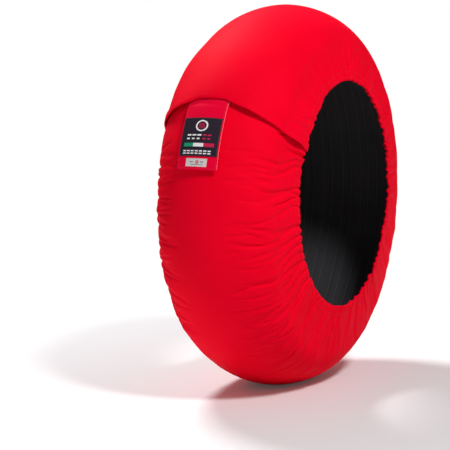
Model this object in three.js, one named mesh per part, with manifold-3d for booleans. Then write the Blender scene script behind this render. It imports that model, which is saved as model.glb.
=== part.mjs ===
// A heated cover for a motorcycle's rear tire: a padded ring of red cloth that wraps the tread
// and both sidewalls, gathered by elastic at two round hems, and closed at the front by an
// overlapping flap and a pull tab. It stands on its tread, as it does on the wheel.
//
// Millimetres and degrees. The ring's axle line runs along Y, Z is up and the floor is z = 0.
// Angles go round the ring from the front (-X, 0 degrees) over the top (90 degrees).
import * as THREE from 'three';
import { mergeVertices } from 'three/addons/utils/BufferGeometryUtils.js';
import Module from 'manifold-3d';

// The ring's outside, as it is stretched by the tire
const crownRadius = 336; // outside of the cover at the middle of the tread
const shoulderRadius = 270; // where the padded band ends and the skirts begin
const shoulderHalfWidth = 103.5;
const crownPower = 1.85; // roundness of the crown: 2 would be an ellipse
const hemRadius = 199;
const hemHalfWidth = 117.5;
const hemRise = 8.5; // the elastic pulls the hem circles this far above the axle line
const flatDepth = 4.5; // how far the crown is pressed flat where it stands
const skirtFlare = 1.5; // the skirts widen to the hems along a curve of this power

// Cloth and padding thicknesses, and the gap that is left between touching pieces
const clearance = 0.3;
const coverThickness = 1.2;
const feltThickness = 4;
const cableDiameter = 2.2;
const cableClearance = 0.8; // the cable lies loose between the felt and the lining
const liningThickness = 1;
const elasticThickness = 1.4;
const elasticWidth = 8;
const casingHeight = 15; // how far the hem is folded back over the elastic
const hemStretch = 17; // the skirt is flat over this width at the hem, so that it can fold there
const gatherHeight = 2.8; // how far the gathers puff out in the skirts

// The closure
const lowerEndAngle = 46; // the end of the band that lies underneath
const flapAngle = 33; // edge of the flap at the middle of the tread
const flapDroop = 7; // how much further down the flap's edge reaches at the hems
const flapFlatShare = 0.12; // the share of the width, at the crown, where its edge is straight
const flapDroopCurve = 0.75; // the droop grows towards the hems with this power
const flapRiseFrom = 18; // the cover starts to climb this many degrees before the lower end
const flapRiseOver = 16; // and takes this many degrees to get on to it
const buttGap = 0.6; // between the two ends of the padding
const loopThickness = 1;
const hookThickness = 1.6;
const closureHalfWidth = 78;
const endMargin = 1; // degrees from the lower end to its tapes and elastics
const tapeToTab = 0.5; // degrees between the overlap's tapes and the tab's root
const elasticEndAngle = 40; // the elastic is sewn off here, inside the flap's hem

// The pull tab with its badge and size label
const tabWidth = 72;
const tabOffset = 4.5; // the tab's middle, from the middle of the tread
const tabThickness = 2.2;
const tabEndAngle = 12.2;
const tabRootAngle = 38; // the tab is sewn in under the flap up to here
const tabStepFrom = 0.9; // the tab steps up on to its tapes this far below the flap's edge
const tabStepOver = 1.8;
const tabTapeInset = 5; // margin of the hook and loop patches inside the tab's outline
const badgeWidth = 67;
const badgeTopAngle = 27;
const badgeEndAngle = 16;
const badgeThickness = 0.7;
const labelWidth = 37;
const labelTopAngle = 15.4;
const labelEndAngle = 13.1;
const labelThickness = 0.5;

// The heating circuit, at the end of the band that the flap belongs to. Places across the band
// are arc lengths from the middle of the tread, positive to the left side (+Y)
const cableRuns = 6;
const cableRunPitch = 40;
const cableLowerTurnAngle = 41; // the runs turn back below this angle at the lower end
const cableUpperTurnAngle = 54; // and above this one at the flap's end
const returnAngle = 48.4; // the last run's tail crosses the band here
const cableCorner = 8; // radius of the tail's two corners
const pocketMargin = 1.5; // degrees of pocket beyond the first and the last control part
const pocketRoom = 1.5; // the pocket in the felt reaches this far past the gland's nut
const pocketOverrun = 5; // and this far over the felt's edge at the shoulder
const glandAngle = 94.5;
const thermostatAngle = 101.5;
const thermostatSize = [20, 8, 3.6]; // along the ring, across it, deep
const fuseAngle = 106.4;
const fuseLength = 12;
const fuseDiameter = 3.2;
const crimpDiameter = 3.2;
const crimpLength = 9;
const leadSlack = 1; // the leads bend this far outside the gland's nut
const liveCrimpAngle = 110;
const neutralCrimpAngle = 90;
const leadDiameter = 2;
const glandFlangeDiameter = 28;
const glandFlangeThickness = 2.4;
const glandNeckDiameter = 12;
const glandCollarDiameter = 15;
const glandCollarHeight = 9;
const glandBoreDiameter = 7.4;
const glandNutDiameter = 19;
const glandNutThickness = 2.2;
const glandChamfer = 1;
const holeOverrun = 2; // the hole's cutter reaches this far past the cloth
const patchMargin = 6; // reinforcing patch outside the gland's flange
const patchThickness = 0.9;

// How finely the curves are divided
const ringStep = 9;
const shortestStep = 0.2; // degrees
const crownSteps = 5;
const skirtSteps = 2;
const cableSides = 4;
const cableTurnSteps = 4;
const barrelSides = 10;
const roundSides = 16;
const weldDistance = 1e-4;

const wasm = await Module();
wasm.setup();

const radians = THREE.MathUtils.degToRad;

// Degrees that a length takes up round the ring, at the crown and at the shoulder
const degreesAtCrown = (length) => THREE.MathUtils.radToDeg(length / crownRadius);
const degreesAtShoulder = (length) => THREE.MathUtils.radToDeg(length / shoulderRadius);
const centreHeight = crownRadius - flatDepth;

// The outer skin's section, from the left hem over the crown to the right hem, as [y, radius]
function skinSection() {
  const half = [];
  for (let i = 0; i <= crownSteps; i += 1) {
    const turn = radians((90 * i) / crownSteps);
    const across = Math.sin(turn) ** (2 / crownPower);
    const up = Math.max(Math.cos(turn), 0) ** (2 / crownPower);
    half.push([shoulderHalfWidth * across, shoulderRadius + (crownRadius - shoulderRadius) * up]);
  }
  const drop = shoulderRadius - hemRadius;
  const spread = hemHalfWidth - shoulderHalfWidth;
  // The fold round the elastic needs the last stretch to be flat
  const foldShare = hemStretch / Math.hypot(drop, spread);
  for (let i = 1; i <= skirtSteps; i += 1) {
    const share = ((1 - foldShare) * i) / skirtSteps;
    half.push([shoulderHalfWidth + spread * share ** skirtFlare, shoulderRadius - drop * share]);
  }
  half.push([hemHalfWidth, hemRadius]);
  const left = half.slice(1).reverse();
  return [...left, ...half.map(([y, r]) => [-y, r])];
}

const skin = skinSection();
const hemLeft = 0;
const hemRight = skin.length - 1;
const crown = hemRight / 2;
const shoulderLeft = crown - crownSteps;
const shoulderRight = crown + crownSteps;

// Outward normals at the section's corners, long enough to keep offset faces parallel
function cornerNormals(points) {
  const edges = points.slice(1).map(([y, r], i) => {
    const edge = new THREE.Vector2(y - points[i][0], r - points[i][1]).normalize();
    return new THREE.Vector2(edge.y, -edge.x);
  });
  return points.map((_, i) => {
    const before = edges[Math.max(i - 1, 0)];
    const after = edges[Math.min(i, edges.length - 1)];
    const sum = before.clone().add(after);
    return sum.multiplyScalar(2 / sum.lengthSq());
  });
}

const normals = cornerNormals(skin);

// Arc length from the crown at each corner, positive to the left
const arcs = skin.map(() => 0);
for (let i = crown - 1; i >= 0; i -= 1) {
  arcs[i] = arcs[i + 1] + Math.hypot(skin[i][0] - skin[i + 1][0], skin[i][1] - skin[i + 1][1]);
}
for (let i = crown + 1; i < skin.length; i += 1) {
  arcs[i] = arcs[i - 1] - Math.hypot(skin[i][0] - skin[i - 1][0], skin[i][1] - skin[i - 1][1]);
}

// The place along the section, counted in corners, that lies at an arc length from the crown
function placeAtArc(arc) {
  const i = Math.max(0, Math.min(skin.length - 2, arcs.findLastIndex((a) => a >= arc)));
  return i + (arcs[i] - arc) / (arcs[i] - arcs[i + 1]);
}

const mixed = (a, b, t) => a + (b - a) * t;

// The gland, the thermostat, the fuse and the live crimp sit in a row in the middle of the last
// but one facet before the left shoulder. The neutral crimp and its lead sit on the last one
const circuitRow = (arcs[shoulderLeft + 1] + arcs[shoulderLeft + 2]) / 2;
const returnRow = (arcs[shoulderLeft] + arcs[shoulderLeft + 1]) / 2;

// A point of the section: its place, and how deep it lies under the skin
function under(place, depth, follows = 1) {
  const i = Math.min(Math.floor(place), skin.length - 2);
  const t = place - i;
  const ny = mixed(normals[i].x, normals[i + 1].x, t);
  const nr = mixed(normals[i].y, normals[i + 1].y, t);
  return {
    y: mixed(skin[i][0], skin[i + 1][0], t) - ny * depth,
    r: mixed(skin[i][1], skin[i + 1][1], t) - nr * depth,
    ny,
    nr,
    place,
    follows, // 1 where the piece is lifted with the cover at the closure, 0 where it isn't
  };
}

// How far down a skirt a place lies: 0 up to the shoulder, 1 in the hem's fold
function skirtShare(place) {
  const fromShoulder = Math.max(shoulderLeft - place, place - shoulderRight, 0);
  return Math.min(fromShoulder / (shoulderLeft - 1), 1);
}

// The ring is built from flat facets, and pieces that touch lie on the same ones. This is how
// much nearer than its corners a facet lies to the axle line at an angle
function facetShare(angle) {
  const middle = (Math.floor(angle / ringStep) + 0.5) * ringStep;
  return Math.cos(radians(ringStep / 2)) / Math.cos(radians(angle - middle));
}

// How far the floor pushes the skin up at an angle and place, even between the corners
function floorPush(angle, place) {
  const i = Math.min(Math.floor(place), skin.length - 2);
  const pushAt = (corner) =>
    Math.max(
      0,
      -(centreHeight + skin[corner][1] * Math.sin(radians(angle)) + hemRise * skirtShare(corner)),
    );
  return mixed(pushAt(i), pushAt(i + 1), place - i);
}

// Where a section's point comes to lie in the part, lifted off the padding by a height
function seat(point, angle, lift = 0, share = facetShare(angle)) {
  const raised = lift * point.follows;
  const y = point.y + point.ny * raised;
  const r = (point.r + point.nr * raised) * share;
  const height = centreHeight + hemRise * skirtShare(point.place) + floorPush(angle, point.place);
  return new THREE.Vector3(-r * Math.cos(radians(angle)), y, height + r * Math.sin(radians(angle)));
}

// Angles are unrolled: they fall from the lower end, past the front, the floor, the back and
// the top, to the flap's edge one turn and a bit further on
const turnOn = (angle) => angle - 360;
const flapLift = clearance + loopThickness + clearance + hookThickness + clearance + coverThickness;

// How far the cover is lifted off the padding as it climbs on to the lower end
function coverLift(angle) {
  const climbed = THREE.MathUtils.clamp(
    (turnOn(lowerEndAngle + flapRiseFrom) - angle) / flapRiseOver,
    0,
    1,
  );
  return flapLift * climbed * climbed * (3 - 2 * climbed);
}

// The facets' corners between two angles, with those two as its ends
function anglesBetween(from, to) {
  const between = [from];
  for (let step = Math.ceil(from / ringStep) - 1; step * ringStep > to; step -= 1) {
    const angle = step * ringStep;
    if (from - angle > shortestStep && angle - to > shortestStep) between.push(angle);
  }
  between.push(to);
  return between;
}

// Stations at which a piece lies flat on the facets
const flatStations = (from, to) => anglesBetween(from, to).map((angle) => ({ angle, lift: 0 }));

// Stations of what belongs to the cover: it rises to the flap, and away from the closure and
// the gland its gathers puff out halfway between the facets' corners
function coverStations(from, to) {
  const stations = [];
  const angles = anglesBetween(from, to);
  angles.forEach((angle, i) => {
    stations.push({ angle, lift: coverLift(angle) });
    const middle = (angle + angles[i + 1]) / 2;
    const whole = angle - angles[i + 1] > ringStep - shortestStep;
    if (whole && !inPlainStretch(middle)) {
      stations.push({ angle: middle, lift: coverLift(middle), puffed: true });
    }
  });
  return stations;
}

// The stretches where the cover has no gathers, because other pieces are sewn on it
function inPlainStretch(angle) {
  const reach = degreesAtShoulder(glandFlangeDiameter / 2 + patchMargin) + ringStep / 2;
  const atGland = Math.abs(angle - turnOn(glandAngle)) < reach;
  return angle > 0 || atGland || angle < turnOn(lowerEndAngle);
}

// Corners of the section between two places, with those two as its ends
function placesBetween(from, to) {
  const between = [];
  for (let i = Math.floor(from) + 1; i < to - 1e-6; i += 1) between.push(i);
  return [from, ...between, to];
}

function geometryOf(positions, faces) {
  const geometry = new THREE.BufferGeometry();
  geometry.setAttribute('position', new THREE.Float32BufferAttribute(positions, 3));
  geometry.setIndex(faces);
  return geometry;
}

// A band of cloth along the ring. Its section is a row of [outer point, inner point] pairs.
// A station has an angle and a lift, may be puffed, and may have a droop, by which the edge
// of an end hangs lower at the hems
function bandGeometry(pairs, stations) {
  const positions = [];
  const faces = [];
  const ring = pairs.length * 2;
  const quad = (a, b, c, d) => faces.push(a, c, b, a, d, c);
  for (const { angle, lift, puffed = false, droop = 0 } of stations) {
    for (const point of pairs.flat()) {
      const hang = droop * hangAt(point.place);
      const down = skirtShare(point.place);
      const puff = puffed ? gatherHeight * down : 0;
      const onFacet = facetShare(angle - hang);
      const share = puffed ? mixed(1, onFacet, down) : onFacet;
      positions.push(...seat(point, angle - hang, lift + puff, share).toArray());
    }
  }
  const at = (station, pair, side) => station * ring + pair * 2 + side;
  const last = pairs.length - 1;
  for (let s = 0; s + 1 < stations.length; s += 1) {
    for (let p = 0; p < last; p += 1) {
      quad(at(s, p, 0), at(s, p + 1, 0), at(s + 1, p + 1, 0), at(s + 1, p, 0));
      quad(at(s, p, 1), at(s + 1, p, 1), at(s + 1, p + 1, 1), at(s, p + 1, 1));
    }
    quad(at(s, 0, 0), at(s + 1, 0, 0), at(s + 1, 0, 1), at(s, 0, 1));
    quad(at(s, last, 0), at(s, last, 1), at(s + 1, last, 1), at(s + 1, last, 0));
  }
  const end = stations.length - 1;
  for (let p = 0; p < last; p += 1) {
    quad(at(0, p, 0), at(0, p, 1), at(0, p + 1, 1), at(0, p + 1, 0));
    quad(at(end, p, 0), at(end, p + 1, 0), at(end, p + 1, 1), at(end, p, 1));
  }
  return geometryOf(positions, faces);
}

// How strongly the flap's edge droops at a place: not on the crown, fully at the hems
function hangAt(place) {
  const fromCrown = Math.abs(place - crown) / crown;
  return (Math.max(fromCrown - flapFlatShare, 0) / (1 - flapFlatShare)) ** flapDroopCurve;
}

// A layer of even thickness between two places of the section
const layer = (from, to, depth, thickness) =>
  placesBetween(from, to).map((place) => [under(place, depth), under(place, depth + thickness)]);

// A round cord along a path of [angle, place, depth] on the ring
function cordGeometry(path, diameter, sides) {
  const points = path.map(([angle, place, depth]) => seat(under(place, depth, 0), angle));
  const outward = path.map(([angle, place]) =>
    seat(under(place, -1, 0), angle).sub(seat(under(place, 0, 0), angle)).normalize(),
  );
  const positions = [];
  const faces = [];
  points.forEach((point, i) => {
    const along = points[Math.min(i + 1, points.length - 1)]
      .clone()
      .sub(points[Math.max(i - 1, 0)])
      .normalize();
    const side = new THREE.Vector3().crossVectors(along, outward[i]).normalize();
    const up = new THREE.Vector3().crossVectors(side, along);
    for (let k = 0; k < sides; k += 1) {
      const turn = (2 * Math.PI * (k + 0.5)) / sides;
      const corner = point
        .clone()
        .addScaledVector(side, (Math.cos(turn) * diameter) / 2)
        .addScaledVector(up, (Math.sin(turn) * diameter) / 2);
      positions.push(...corner.toArray());
    }
  });
  for (let i = 0; i + 1 < points.length; i += 1) {
    for (let k = 0; k < sides; k += 1) {
      const next = (k + 1) % sides;
      const [a, b, c, d] = [i * sides + k, i * sides + next, (i + 1) * sides + next, (i + 1) * sides + k];
      faces.push(a, c, b, a, d, c);
    }
  }
  const end = (points.length - 1) * sides;
  for (let k = 1; k + 1 < sides; k += 1) {
    faces.push(0, k, k + 1, end, end + k + 1, end + k);
  }
  return geometryOf(positions, faces);
}

// A frame on the ring: X runs along it, Y across it and Z outwards, with its origin at a depth
function placeOn(mesh, angle, arc, depth) {
  const place = placeAtArc(arc);
  const origin = seat(under(place, depth, 0), angle);
  const x = seat(under(place, depth, 0), angle - 1).sub(origin).normalize();
  const across = seat(under(placeAtArc(arc + 1), depth, 0), angle).sub(origin);
  const z = new THREE.Vector3().crossVectors(across, x).normalize();
  const y = new THREE.Vector3().crossVectors(z, x);
  mesh.quaternion.setFromRotationMatrix(new THREE.Matrix4().makeBasis(x, y, z));
  mesh.position.copy(origin);
  return mesh;
}

// Turns a mesh into a solid for cutting, in the part's frame
function solidOf(mesh) {
  mesh.updateMatrixWorld(true);
  const plain = new THREE.BufferGeometry();
  const source = mesh.geometry.index ? mesh.geometry.toNonIndexed() : mesh.geometry;
  plain.setAttribute('position', source.getAttribute('position').clone());
  plain.applyMatrix4(mesh.matrixWorld);
  const merged = mergeVertices(plain, weldDistance);
  return new wasm.Manifold(
    new wasm.Mesh({
      numProp: 3,
      vertProperties: merged.attributes.position.array,
      triVerts: new Uint32Array(merged.index.array),
    }),
  );
}

// The same mesh with other meshes cut out of it
function cutBy(mesh, ...tools) {
  let solid = solidOf(mesh);
  for (const tool of tools) solid = solid.subtract(solidOf(tool));
  const { vertProperties, triVerts, numProp } = solid.getMesh();
  const positions = [];
  for (let i = 0; i < vertProperties.length; i += numProp) {
    positions.push(vertProperties[i], vertProperties[i + 1], vertProperties[i + 2]);
  }
  const cut = new THREE.Mesh(geometryOf(positions, Array.from(triVerts)), mesh.material);
  cut.name = mesh.name;
  return cut;
}

const cloth = (color, roughness) => new THREE.MeshStandardMaterial({ color, roughness });
const materials = {
  cover: cloth(0xe00824, 0.62),
  lining: cloth(0x2b2c30, 0.85),
  felt: cloth(0xb9b3a8, 0.95),
  elastic: cloth(0x1c1c1e, 0.8),
  hookLoop: cloth(0x17171a, 0.9),
  badge: cloth(0x2c2430, 0.7),
  label: cloth(0xd9d4cf, 0.7),
  cable: cloth(0x9c3a22, 0.5),
  lead: cloth(0x2f5d8f, 0.5),
  rubber: cloth(0x141414, 0.7),
  metal: new THREE.MeshStandardMaterial({ color: 0xb8bcc0, roughness: 0.35, metalness: 0.9 }),
};

function named(name, geometry, material) {
  const mesh = new THREE.Mesh(geometry, material);
  mesh.name = name;
  return mesh;
}

// Depths of the layers under the skin, from the outside in
const feltDepth = coverThickness + clearance;
const cableDepth = feltDepth + feltThickness + cableClearance + cableDiameter / 2;
const padLiningDepth = cableDepth + cableDiameter / 2 + cableClearance;
const skirtLiningDepth = coverThickness + clearance;
const casingGap = elasticThickness + 2 * clearance;

// The hem's fold on one side: the cover turns round the elastic and runs back inside
function foldPairs(hem) {
  const edge = under(hem, 0);
  const before = under(hem === hemLeft ? 1 : hem - 1, 0);
  const along = new THREE.Vector2(edge.y - before.y, edge.r - before.r).normalize();
  const out = new THREE.Vector2(normals[hem].x, normals[hem].y);
  const middle = new THREE.Vector2(edge.y, edge.r).addScaledVector(out, -(coverThickness + casingGap / 2));
  const point = (across, down) => ({
    ...edge,
    y: middle.x + out.x * across + along.x * down,
    r: middle.y + out.y * across + along.y * down,
  });
  const outer = casingGap / 2 + coverThickness;
  const inner = casingGap / 2;
  return [
    [point(0, outer), point(0, inner)],
    [point(-outer, 0), point(-inner, 0)],
    [point(-outer, -casingHeight), point(-inner, -casingHeight)],
  ];
}

// The outer cover: one sheet from hem to hem, once round and on over its own lower end
function outerCover() {
  const middle = layer(hemLeft, hemRight, 0, coverThickness);
  const pairs = [...foldPairs(hemLeft).reverse(), ...middle, ...foldPairs(hemRight)];
  const stations = coverStations(lowerEndAngle, turnOn(flapAngle));
  stations.at(-1).droop = flapDroop;
  return named('outer_cover', bandGeometry(pairs, stations), materials.cover);
}

// Felt that keeps the heat in, under the cover from shoulder to shoulder
function insulationFelt() {
  const pairs = layer(shoulderLeft, shoulderRight, feltDepth, feltThickness);
  const stations = flatStations(lowerEndAngle, turnOn(lowerEndAngle + buttGap));
  return named('insulation_felt', bandGeometry(pairs, stations), materials.felt);
}

// The cloth that faces the tire. It lies deep under the padding and close to the cover in
// the skirts, down to the hems' folds
function innerLining() {
  const foldPlace = (casingHeight + clearance) / hemStretch;
  const places = placesBetween(hemLeft + foldPlace, hemRight - foldPlace);
  const pairs = places.map((place) => {
    const padded = place >= shoulderLeft && place <= shoulderRight;
    const depth = padded ? padLiningDepth : skirtLiningDepth;
    const follows = padded ? 0 : 1;
    return [under(place, depth, follows), under(place, depth + liningThickness, follows)];
  });
  const stations = anglesBetween(lowerEndAngle, turnOn(lowerEndAngle + buttGap)).map((angle) => ({
    angle,
    lift: coverLift(angle),
  }));
  return named('inner_lining', bandGeometry(pairs, stations), materials.lining);
}

// The flat elastic inside one hem's fold
function hemElastic(name, hem) {
  const edge = under(hem, 0);
  const inward = hem === hemLeft ? 1 : -1;
  const along = elasticWidth / hemStretch;
  const depth = coverThickness + clearance;
  const pairs = [hem, hem + inward * along]
    .sort((a, b) => a - b)
    .map((place) => [
      { ...under(place, depth), place: edge.place },
      { ...under(place, depth + elasticThickness), place: edge.place },
    ]);
  const stations = coverStations(lowerEndAngle - endMargin, turnOn(elasticEndAngle));
  return named(name, bandGeometry(pairs, stations), materials.elastic);
}

// A flat patch that lies on the ring outside the skin, between two angles
function patch(name, from, to, arcLeft, arcRight, height, thickness, material) {
  const pairs = layer(placeAtArc(arcLeft), placeAtArc(arcRight), -height - thickness, thickness);
  return named(name, bandGeometry(pairs, flatStations(from, to)), material);
}

const loopHeight = clearance;
const hookHeight = loopHeight + loopThickness + clearance;
const tabHeight = hookHeight + hookThickness + clearance;
const tabLeft = tabOffset + tabWidth / 2;
const tabRight = tabOffset - tabWidth / 2;

// The tapes that close the overlap: loops on the lower end, hooks under the flap
function closureTapes() {
  const outline = [
    lowerEndAngle - endMargin,
    tabRootAngle + tapeToTab,
    closureHalfWidth,
    -closureHalfWidth,
  ];
  return [
    patch('overlap_loop_tape', ...outline, loopHeight, loopThickness, materials.hookLoop),
    patch('overlap_hook_tape', ...outline, hookHeight, hookThickness, materials.hookLoop),
  ];
}

// The tab's own tapes, inset from its outline
function tabTapes() {
  const from = flapAngle - tabStepFrom - tabStepOver - degreesAtCrown(clearance);
  const to = tabEndAngle + degreesAtCrown(tabTapeInset);
  const left = tabLeft - tabTapeInset;
  const right = tabRight + tabTapeInset;
  const outline = [from, to, left, right];
  return [
    patch('tab_loop_patch', ...outline, loopHeight, loopThickness, materials.hookLoop),
    patch('tab_hook_patch', ...outline, hookHeight, hookThickness, materials.hookLoop),
  ];
}

// The pull tab: it comes out from under the flap and steps up on to its own tapes
function pullTab() {
  const pairs = layer(placeAtArc(tabLeft), placeAtArc(tabRight), -tabThickness, tabThickness);
  const rootHeight = flapLift - coverThickness - clearance - tabThickness;
  const stepTop = flapAngle - tabStepFrom;
  const stepEnd = stepTop - tabStepOver;
  const stations = [
    ...anglesBetween(tabRootAngle, stepTop).map((angle) => ({ angle, lift: rootHeight })),
    ...anglesBetween(stepEnd, tabEndAngle).map((angle) => ({ angle, lift: tabHeight })),
  ];
  return named('pull_tab', bandGeometry(pairs, stations), materials.cover);
}

// The woven badge and the small size label, sewn on the tab
function tabBadges() {
  const top = tabHeight + tabThickness + clearance;
  const badge = patch(
    'badge',
    badgeTopAngle,
    badgeEndAngle,
    tabOffset + badgeWidth / 2,
    tabOffset - badgeWidth / 2,
    top,
    badgeThickness,
    materials.badge,
  );
  const label = patch(
    'size_label',
    labelTopAngle,
    labelEndAngle,
    tabOffset + labelWidth / 2,
    tabOffset - labelWidth / 2,
    top,
    labelThickness,
    materials.label,
  );
  return [badge, label];
}

// Adds the points where a path of [angle, place, depth] crosses the facets' corners, so that
// the cord bends where the layers bend
function bentPath(path) {
  const bent = [path[0]];
  for (let i = 1; i < path.length; i += 1) {
    const [a0, p0] = path[i - 1];
    const [a1, p1, depth] = path[i];
    const shares = [];
    const lastCorner = lowerEndAngle / ringStep;
    for (let corner = Math.ceil(turnOn(0) / ringStep); corner < lastCorner; corner += 1) {
      shares.push((corner * ringStep - a0) / (a1 - a0));
    }
    for (let corner = 0; corner < skin.length; corner += 1) shares.push((corner - p0) / (p1 - p0));
    for (const share of shares.filter((t) => t > 0.01 && t < 0.99).sort((a, b) => a - b)) {
      bent.push([mixed(a0, a1, share), mixed(p0, p1, share), depth]);
    }
    bent.push(path[i]);
  }
  return bent;
}

// A half turn from one run of the cable to the next, as [angle, arc] points
function halfTurn(angle, fromArc, toArc, side) {
  const radius = Math.abs(toArc - fromArc) / 2;
  const middle = (fromArc + toArc) / 2;
  const points = [];
  for (let k = 1; k < cableTurnSteps; k += 1) {
    const turn = (Math.PI * k) / cableTurnSteps;
    points.push([
      angle + side * degreesAtCrown(radius * Math.sin(turn)),
      middle + (fromArc - middle) * Math.cos(turn),
    ]);
  }
  return points;
}

// The heating cable: parallel runs round the band, stitched to the back of the lining. It
// starts at the live crimp, and its tail crosses back to the neutral crimp
function heatingCable() {
  const arcOf = (run) => cableRunPitch * ((cableRuns - 1) / 2 - run);
  const crimpEnd = degreesAtShoulder(crimpLength / 2 + clearance);
  const upper = turnOn(cableUpperTurnAngle);
  const flat = [[turnOn(liveCrimpAngle) + crimpEnd, circuitRow]];
  for (let run = 0; run < cableRuns; run += 1) {
    const toLower = run % 2 === 0;
    const turnAngle = toLower ? cableLowerTurnAngle : upper;
    if (run + 1 < cableRuns) {
      flat.push([turnAngle, arcOf(run)]);
      flat.push(...halfTurn(turnAngle, arcOf(run), arcOf(run + 1), toLower ? 1 : -1));
      flat.push([turnAngle, arcOf(run + 1)]);
    }
  }
  const lastArc = arcOf(cableRuns - 1);
  const across = turnOn(returnAngle);
  const corner = degreesAtCrown(cableCorner);
  flat.push(
    [across + corner, lastArc],
    [across, lastArc + cableCorner],
    [across, returnRow - cableCorner],
    [across + corner, returnRow],
    [turnOn(neutralCrimpAngle) - crimpEnd, returnRow],
  );
  const path = flat.map(([angle, arc]) => [angle, placeAtArc(arc), cableDepth]);
  return named('heating_cable', cordGeometry(bentPath(path), cableDiameter, cableSides), materials.cable);
}

// A small cylinder that lies along the ring, such as a crimp or the fuse
function barrel(name, diameter, length, angle, arc, material) {
  const geometry = new THREE.CylinderGeometry(diameter / 2, diameter / 2, length, barrelSides);
  geometry.rotateZ(Math.PI / 2);
  const depth = padLiningDepth - clearance - diameter / 2;
  return placeOn(named(name, geometry, material), turnOn(angle), arc, depth);
}

// The control parts in the felt's pocket, between the gland and the cable
function circuitParts() {
  const [long, wide, deep] = thermostatSize;
  const box = named('thermostat', new THREE.BoxGeometry(long, wide, deep), materials.metal);
  const depth = padLiningDepth - clearance - deep / 2;
  const thermostat = placeOn(box, turnOn(thermostatAngle), circuitRow, depth);
  const fuse = barrel('thermal_fuse', fuseDiameter, fuseLength, fuseAngle, circuitRow, materials.metal);
  const live = barrel('live_crimp', crimpDiameter, crimpLength, liveCrimpAngle, circuitRow, materials.metal);
  const neutral = barrel(
    'neutral_crimp',
    crimpDiameter,
    crimpLength,
    neutralCrimpAngle,
    returnRow,
    materials.metal,
  );
  return [thermostat, fuse, live, neutral];
}

// Short inner leads: gland to thermostat, thermostat to fuse, fuse to crimp, gland to crimp
function innerLeads() {
  const depth = padLiningDepth - clearance - crimpDiameter / 2;
  const mouth = coverThickness + clearance + glandNutThickness / 2;
  const beside = leadDiameter / 2 + clearance / 2;
  const lead = (name, path) =>
    named(name, cordGeometry(path, leadDiameter, cableSides), materials.lead);
  const link = (name, fromAngle, toAngle) =>
    lead(
      name,
      bentPath([
        [turnOn(fromAngle), placeAtArc(circuitRow), depth],
        [turnOn(toAngle), placeAtArc(circuitRow), depth],
      ]),
    );
  const fromGland = (name, side, arc, leaveAngle, toAngle) => {
    const start = placeAtArc(circuitRow + side * beside);
    return lead(name, [
      [turnOn(glandAngle), start, mouth],
      ...bentPath([
        [turnOn(glandAngle), start, depth],
        [turnOn(leaveAngle), placeAtArc(arc), depth],
        [turnOn(toAngle), placeAtArc(arc), depth],
      ]),
    ]);
  };
  const half = (length) => degreesAtShoulder(length / 2 + clearance);
  const leave = degreesAtShoulder(glandNutDiameter / 2 + leadSlack);
  const thermostatHalf = half(thermostatSize[0]);
  const toThermostat = thermostatAngle - thermostatHalf;
  const toNeutral = neutralCrimpAngle + half(crimpLength);
  return [
    fromGland('live_lead', -1, circuitRow, glandAngle + leave, toThermostat),
    link('thermostat_link', thermostatAngle + thermostatHalf, fuseAngle - half(fuseLength)),
    link('fuse_link', fuseAngle + half(fuseLength), liveCrimpAngle - half(crimpLength)),
    fromGland('neutral_lead', 1, returnRow, glandAngle - leave, toNeutral),
  ];
}

// A round piece on the gland's axis, from a profile of [radius, height above the skin]
function onGlandAxis(name, profile, material) {
  const points = profile.map(([r, h]) => new THREE.Vector2(r, h));
  const geometry = new THREE.LatheGeometry([...points, points[0]], roundSides);
  geometry.rotateX(Math.PI / 2);
  return placeOn(named(name, geometry, material), turnOn(glandAngle), circuitRow, 0);
}

// The gland where the mains lead enters, with its nut inside and a patch under its flange
function glandPieces() {
  const bore = glandBoreDiameter / 2;
  const neck = glandNeckDiameter / 2;
  const flange = glandFlangeDiameter / 2;
  const seatHeight = clearance + patchThickness + clearance;
  const flangeTop = seatHeight + glandFlangeThickness;
  const collarTop = flangeTop + glandCollarHeight;
  const nutTop = -(coverThickness + clearance);
  const nutBase = nutTop - glandNutThickness;
  const gland = onGlandAxis(
    'cable_gland',
    [
      [bore, nutBase],
      [neck, nutBase],
      [neck, seatHeight],
      [flange, seatHeight],
      [flange, flangeTop - glandChamfer],
      [flange - glandChamfer, flangeTop],
      [glandCollarDiameter / 2, flangeTop],
      [glandCollarDiameter / 2 - glandChamfer, collarTop],
      [bore, collarTop],
    ],
    materials.rubber,
  );
  const nut = onGlandAxis(
    'gland_nut',
    [
      [neck + clearance, nutBase],
      [glandNutDiameter / 2, nutBase],
      [glandNutDiameter / 2, nutTop],
      [neck + clearance, nutTop],
    ],
    materials.rubber,
  );
  const reach = flange + patchMargin;
  const patchPiece = patch(
    'gland_patch',
    turnOn(glandAngle) + degreesAtShoulder(reach),
    turnOn(glandAngle) - degreesAtShoulder(reach),
    circuitRow + reach,
    circuitRow - reach,
    clearance,
    patchThickness,
    materials.cover,
  );
  return { gland, nut, patchPiece };
}

// Cuts the hole for the gland's neck, and the pocket for the control parts
function glandHole() {
  const geometry = new THREE.CylinderGeometry(1, 1, 2, roundSides);
  geometry.rotateX(Math.PI / 2);
  const hole = placeOn(new THREE.Mesh(geometry), turnOn(glandAngle), circuitRow, 0);
  const radius = glandNeckDiameter / 2 + clearance;
  hole.scale.set(radius, radius, 2 * (coverThickness + patchThickness + holeOverrun));
  return hole;
}

function feltPocket() {
  const top = coverThickness + clearance / 2;
  const depth = feltThickness + 2 * clearance;
  const edge = placeAtArc(circuitRow - glandNutDiameter / 2 - pocketRoom);
  const pairs = layer(placeAtArc(arcs[shoulderLeft] + pocketOverrun), edge, top, depth);
  const margin = degreesAtShoulder(crimpLength / 2) + pocketMargin;
  const from = turnOn(liveCrimpAngle + margin);
  const to = turnOn(neutralCrimpAngle - margin);
  return new THREE.Mesh(bandGeometry(pairs, flatStations(from, to)));
}

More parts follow.
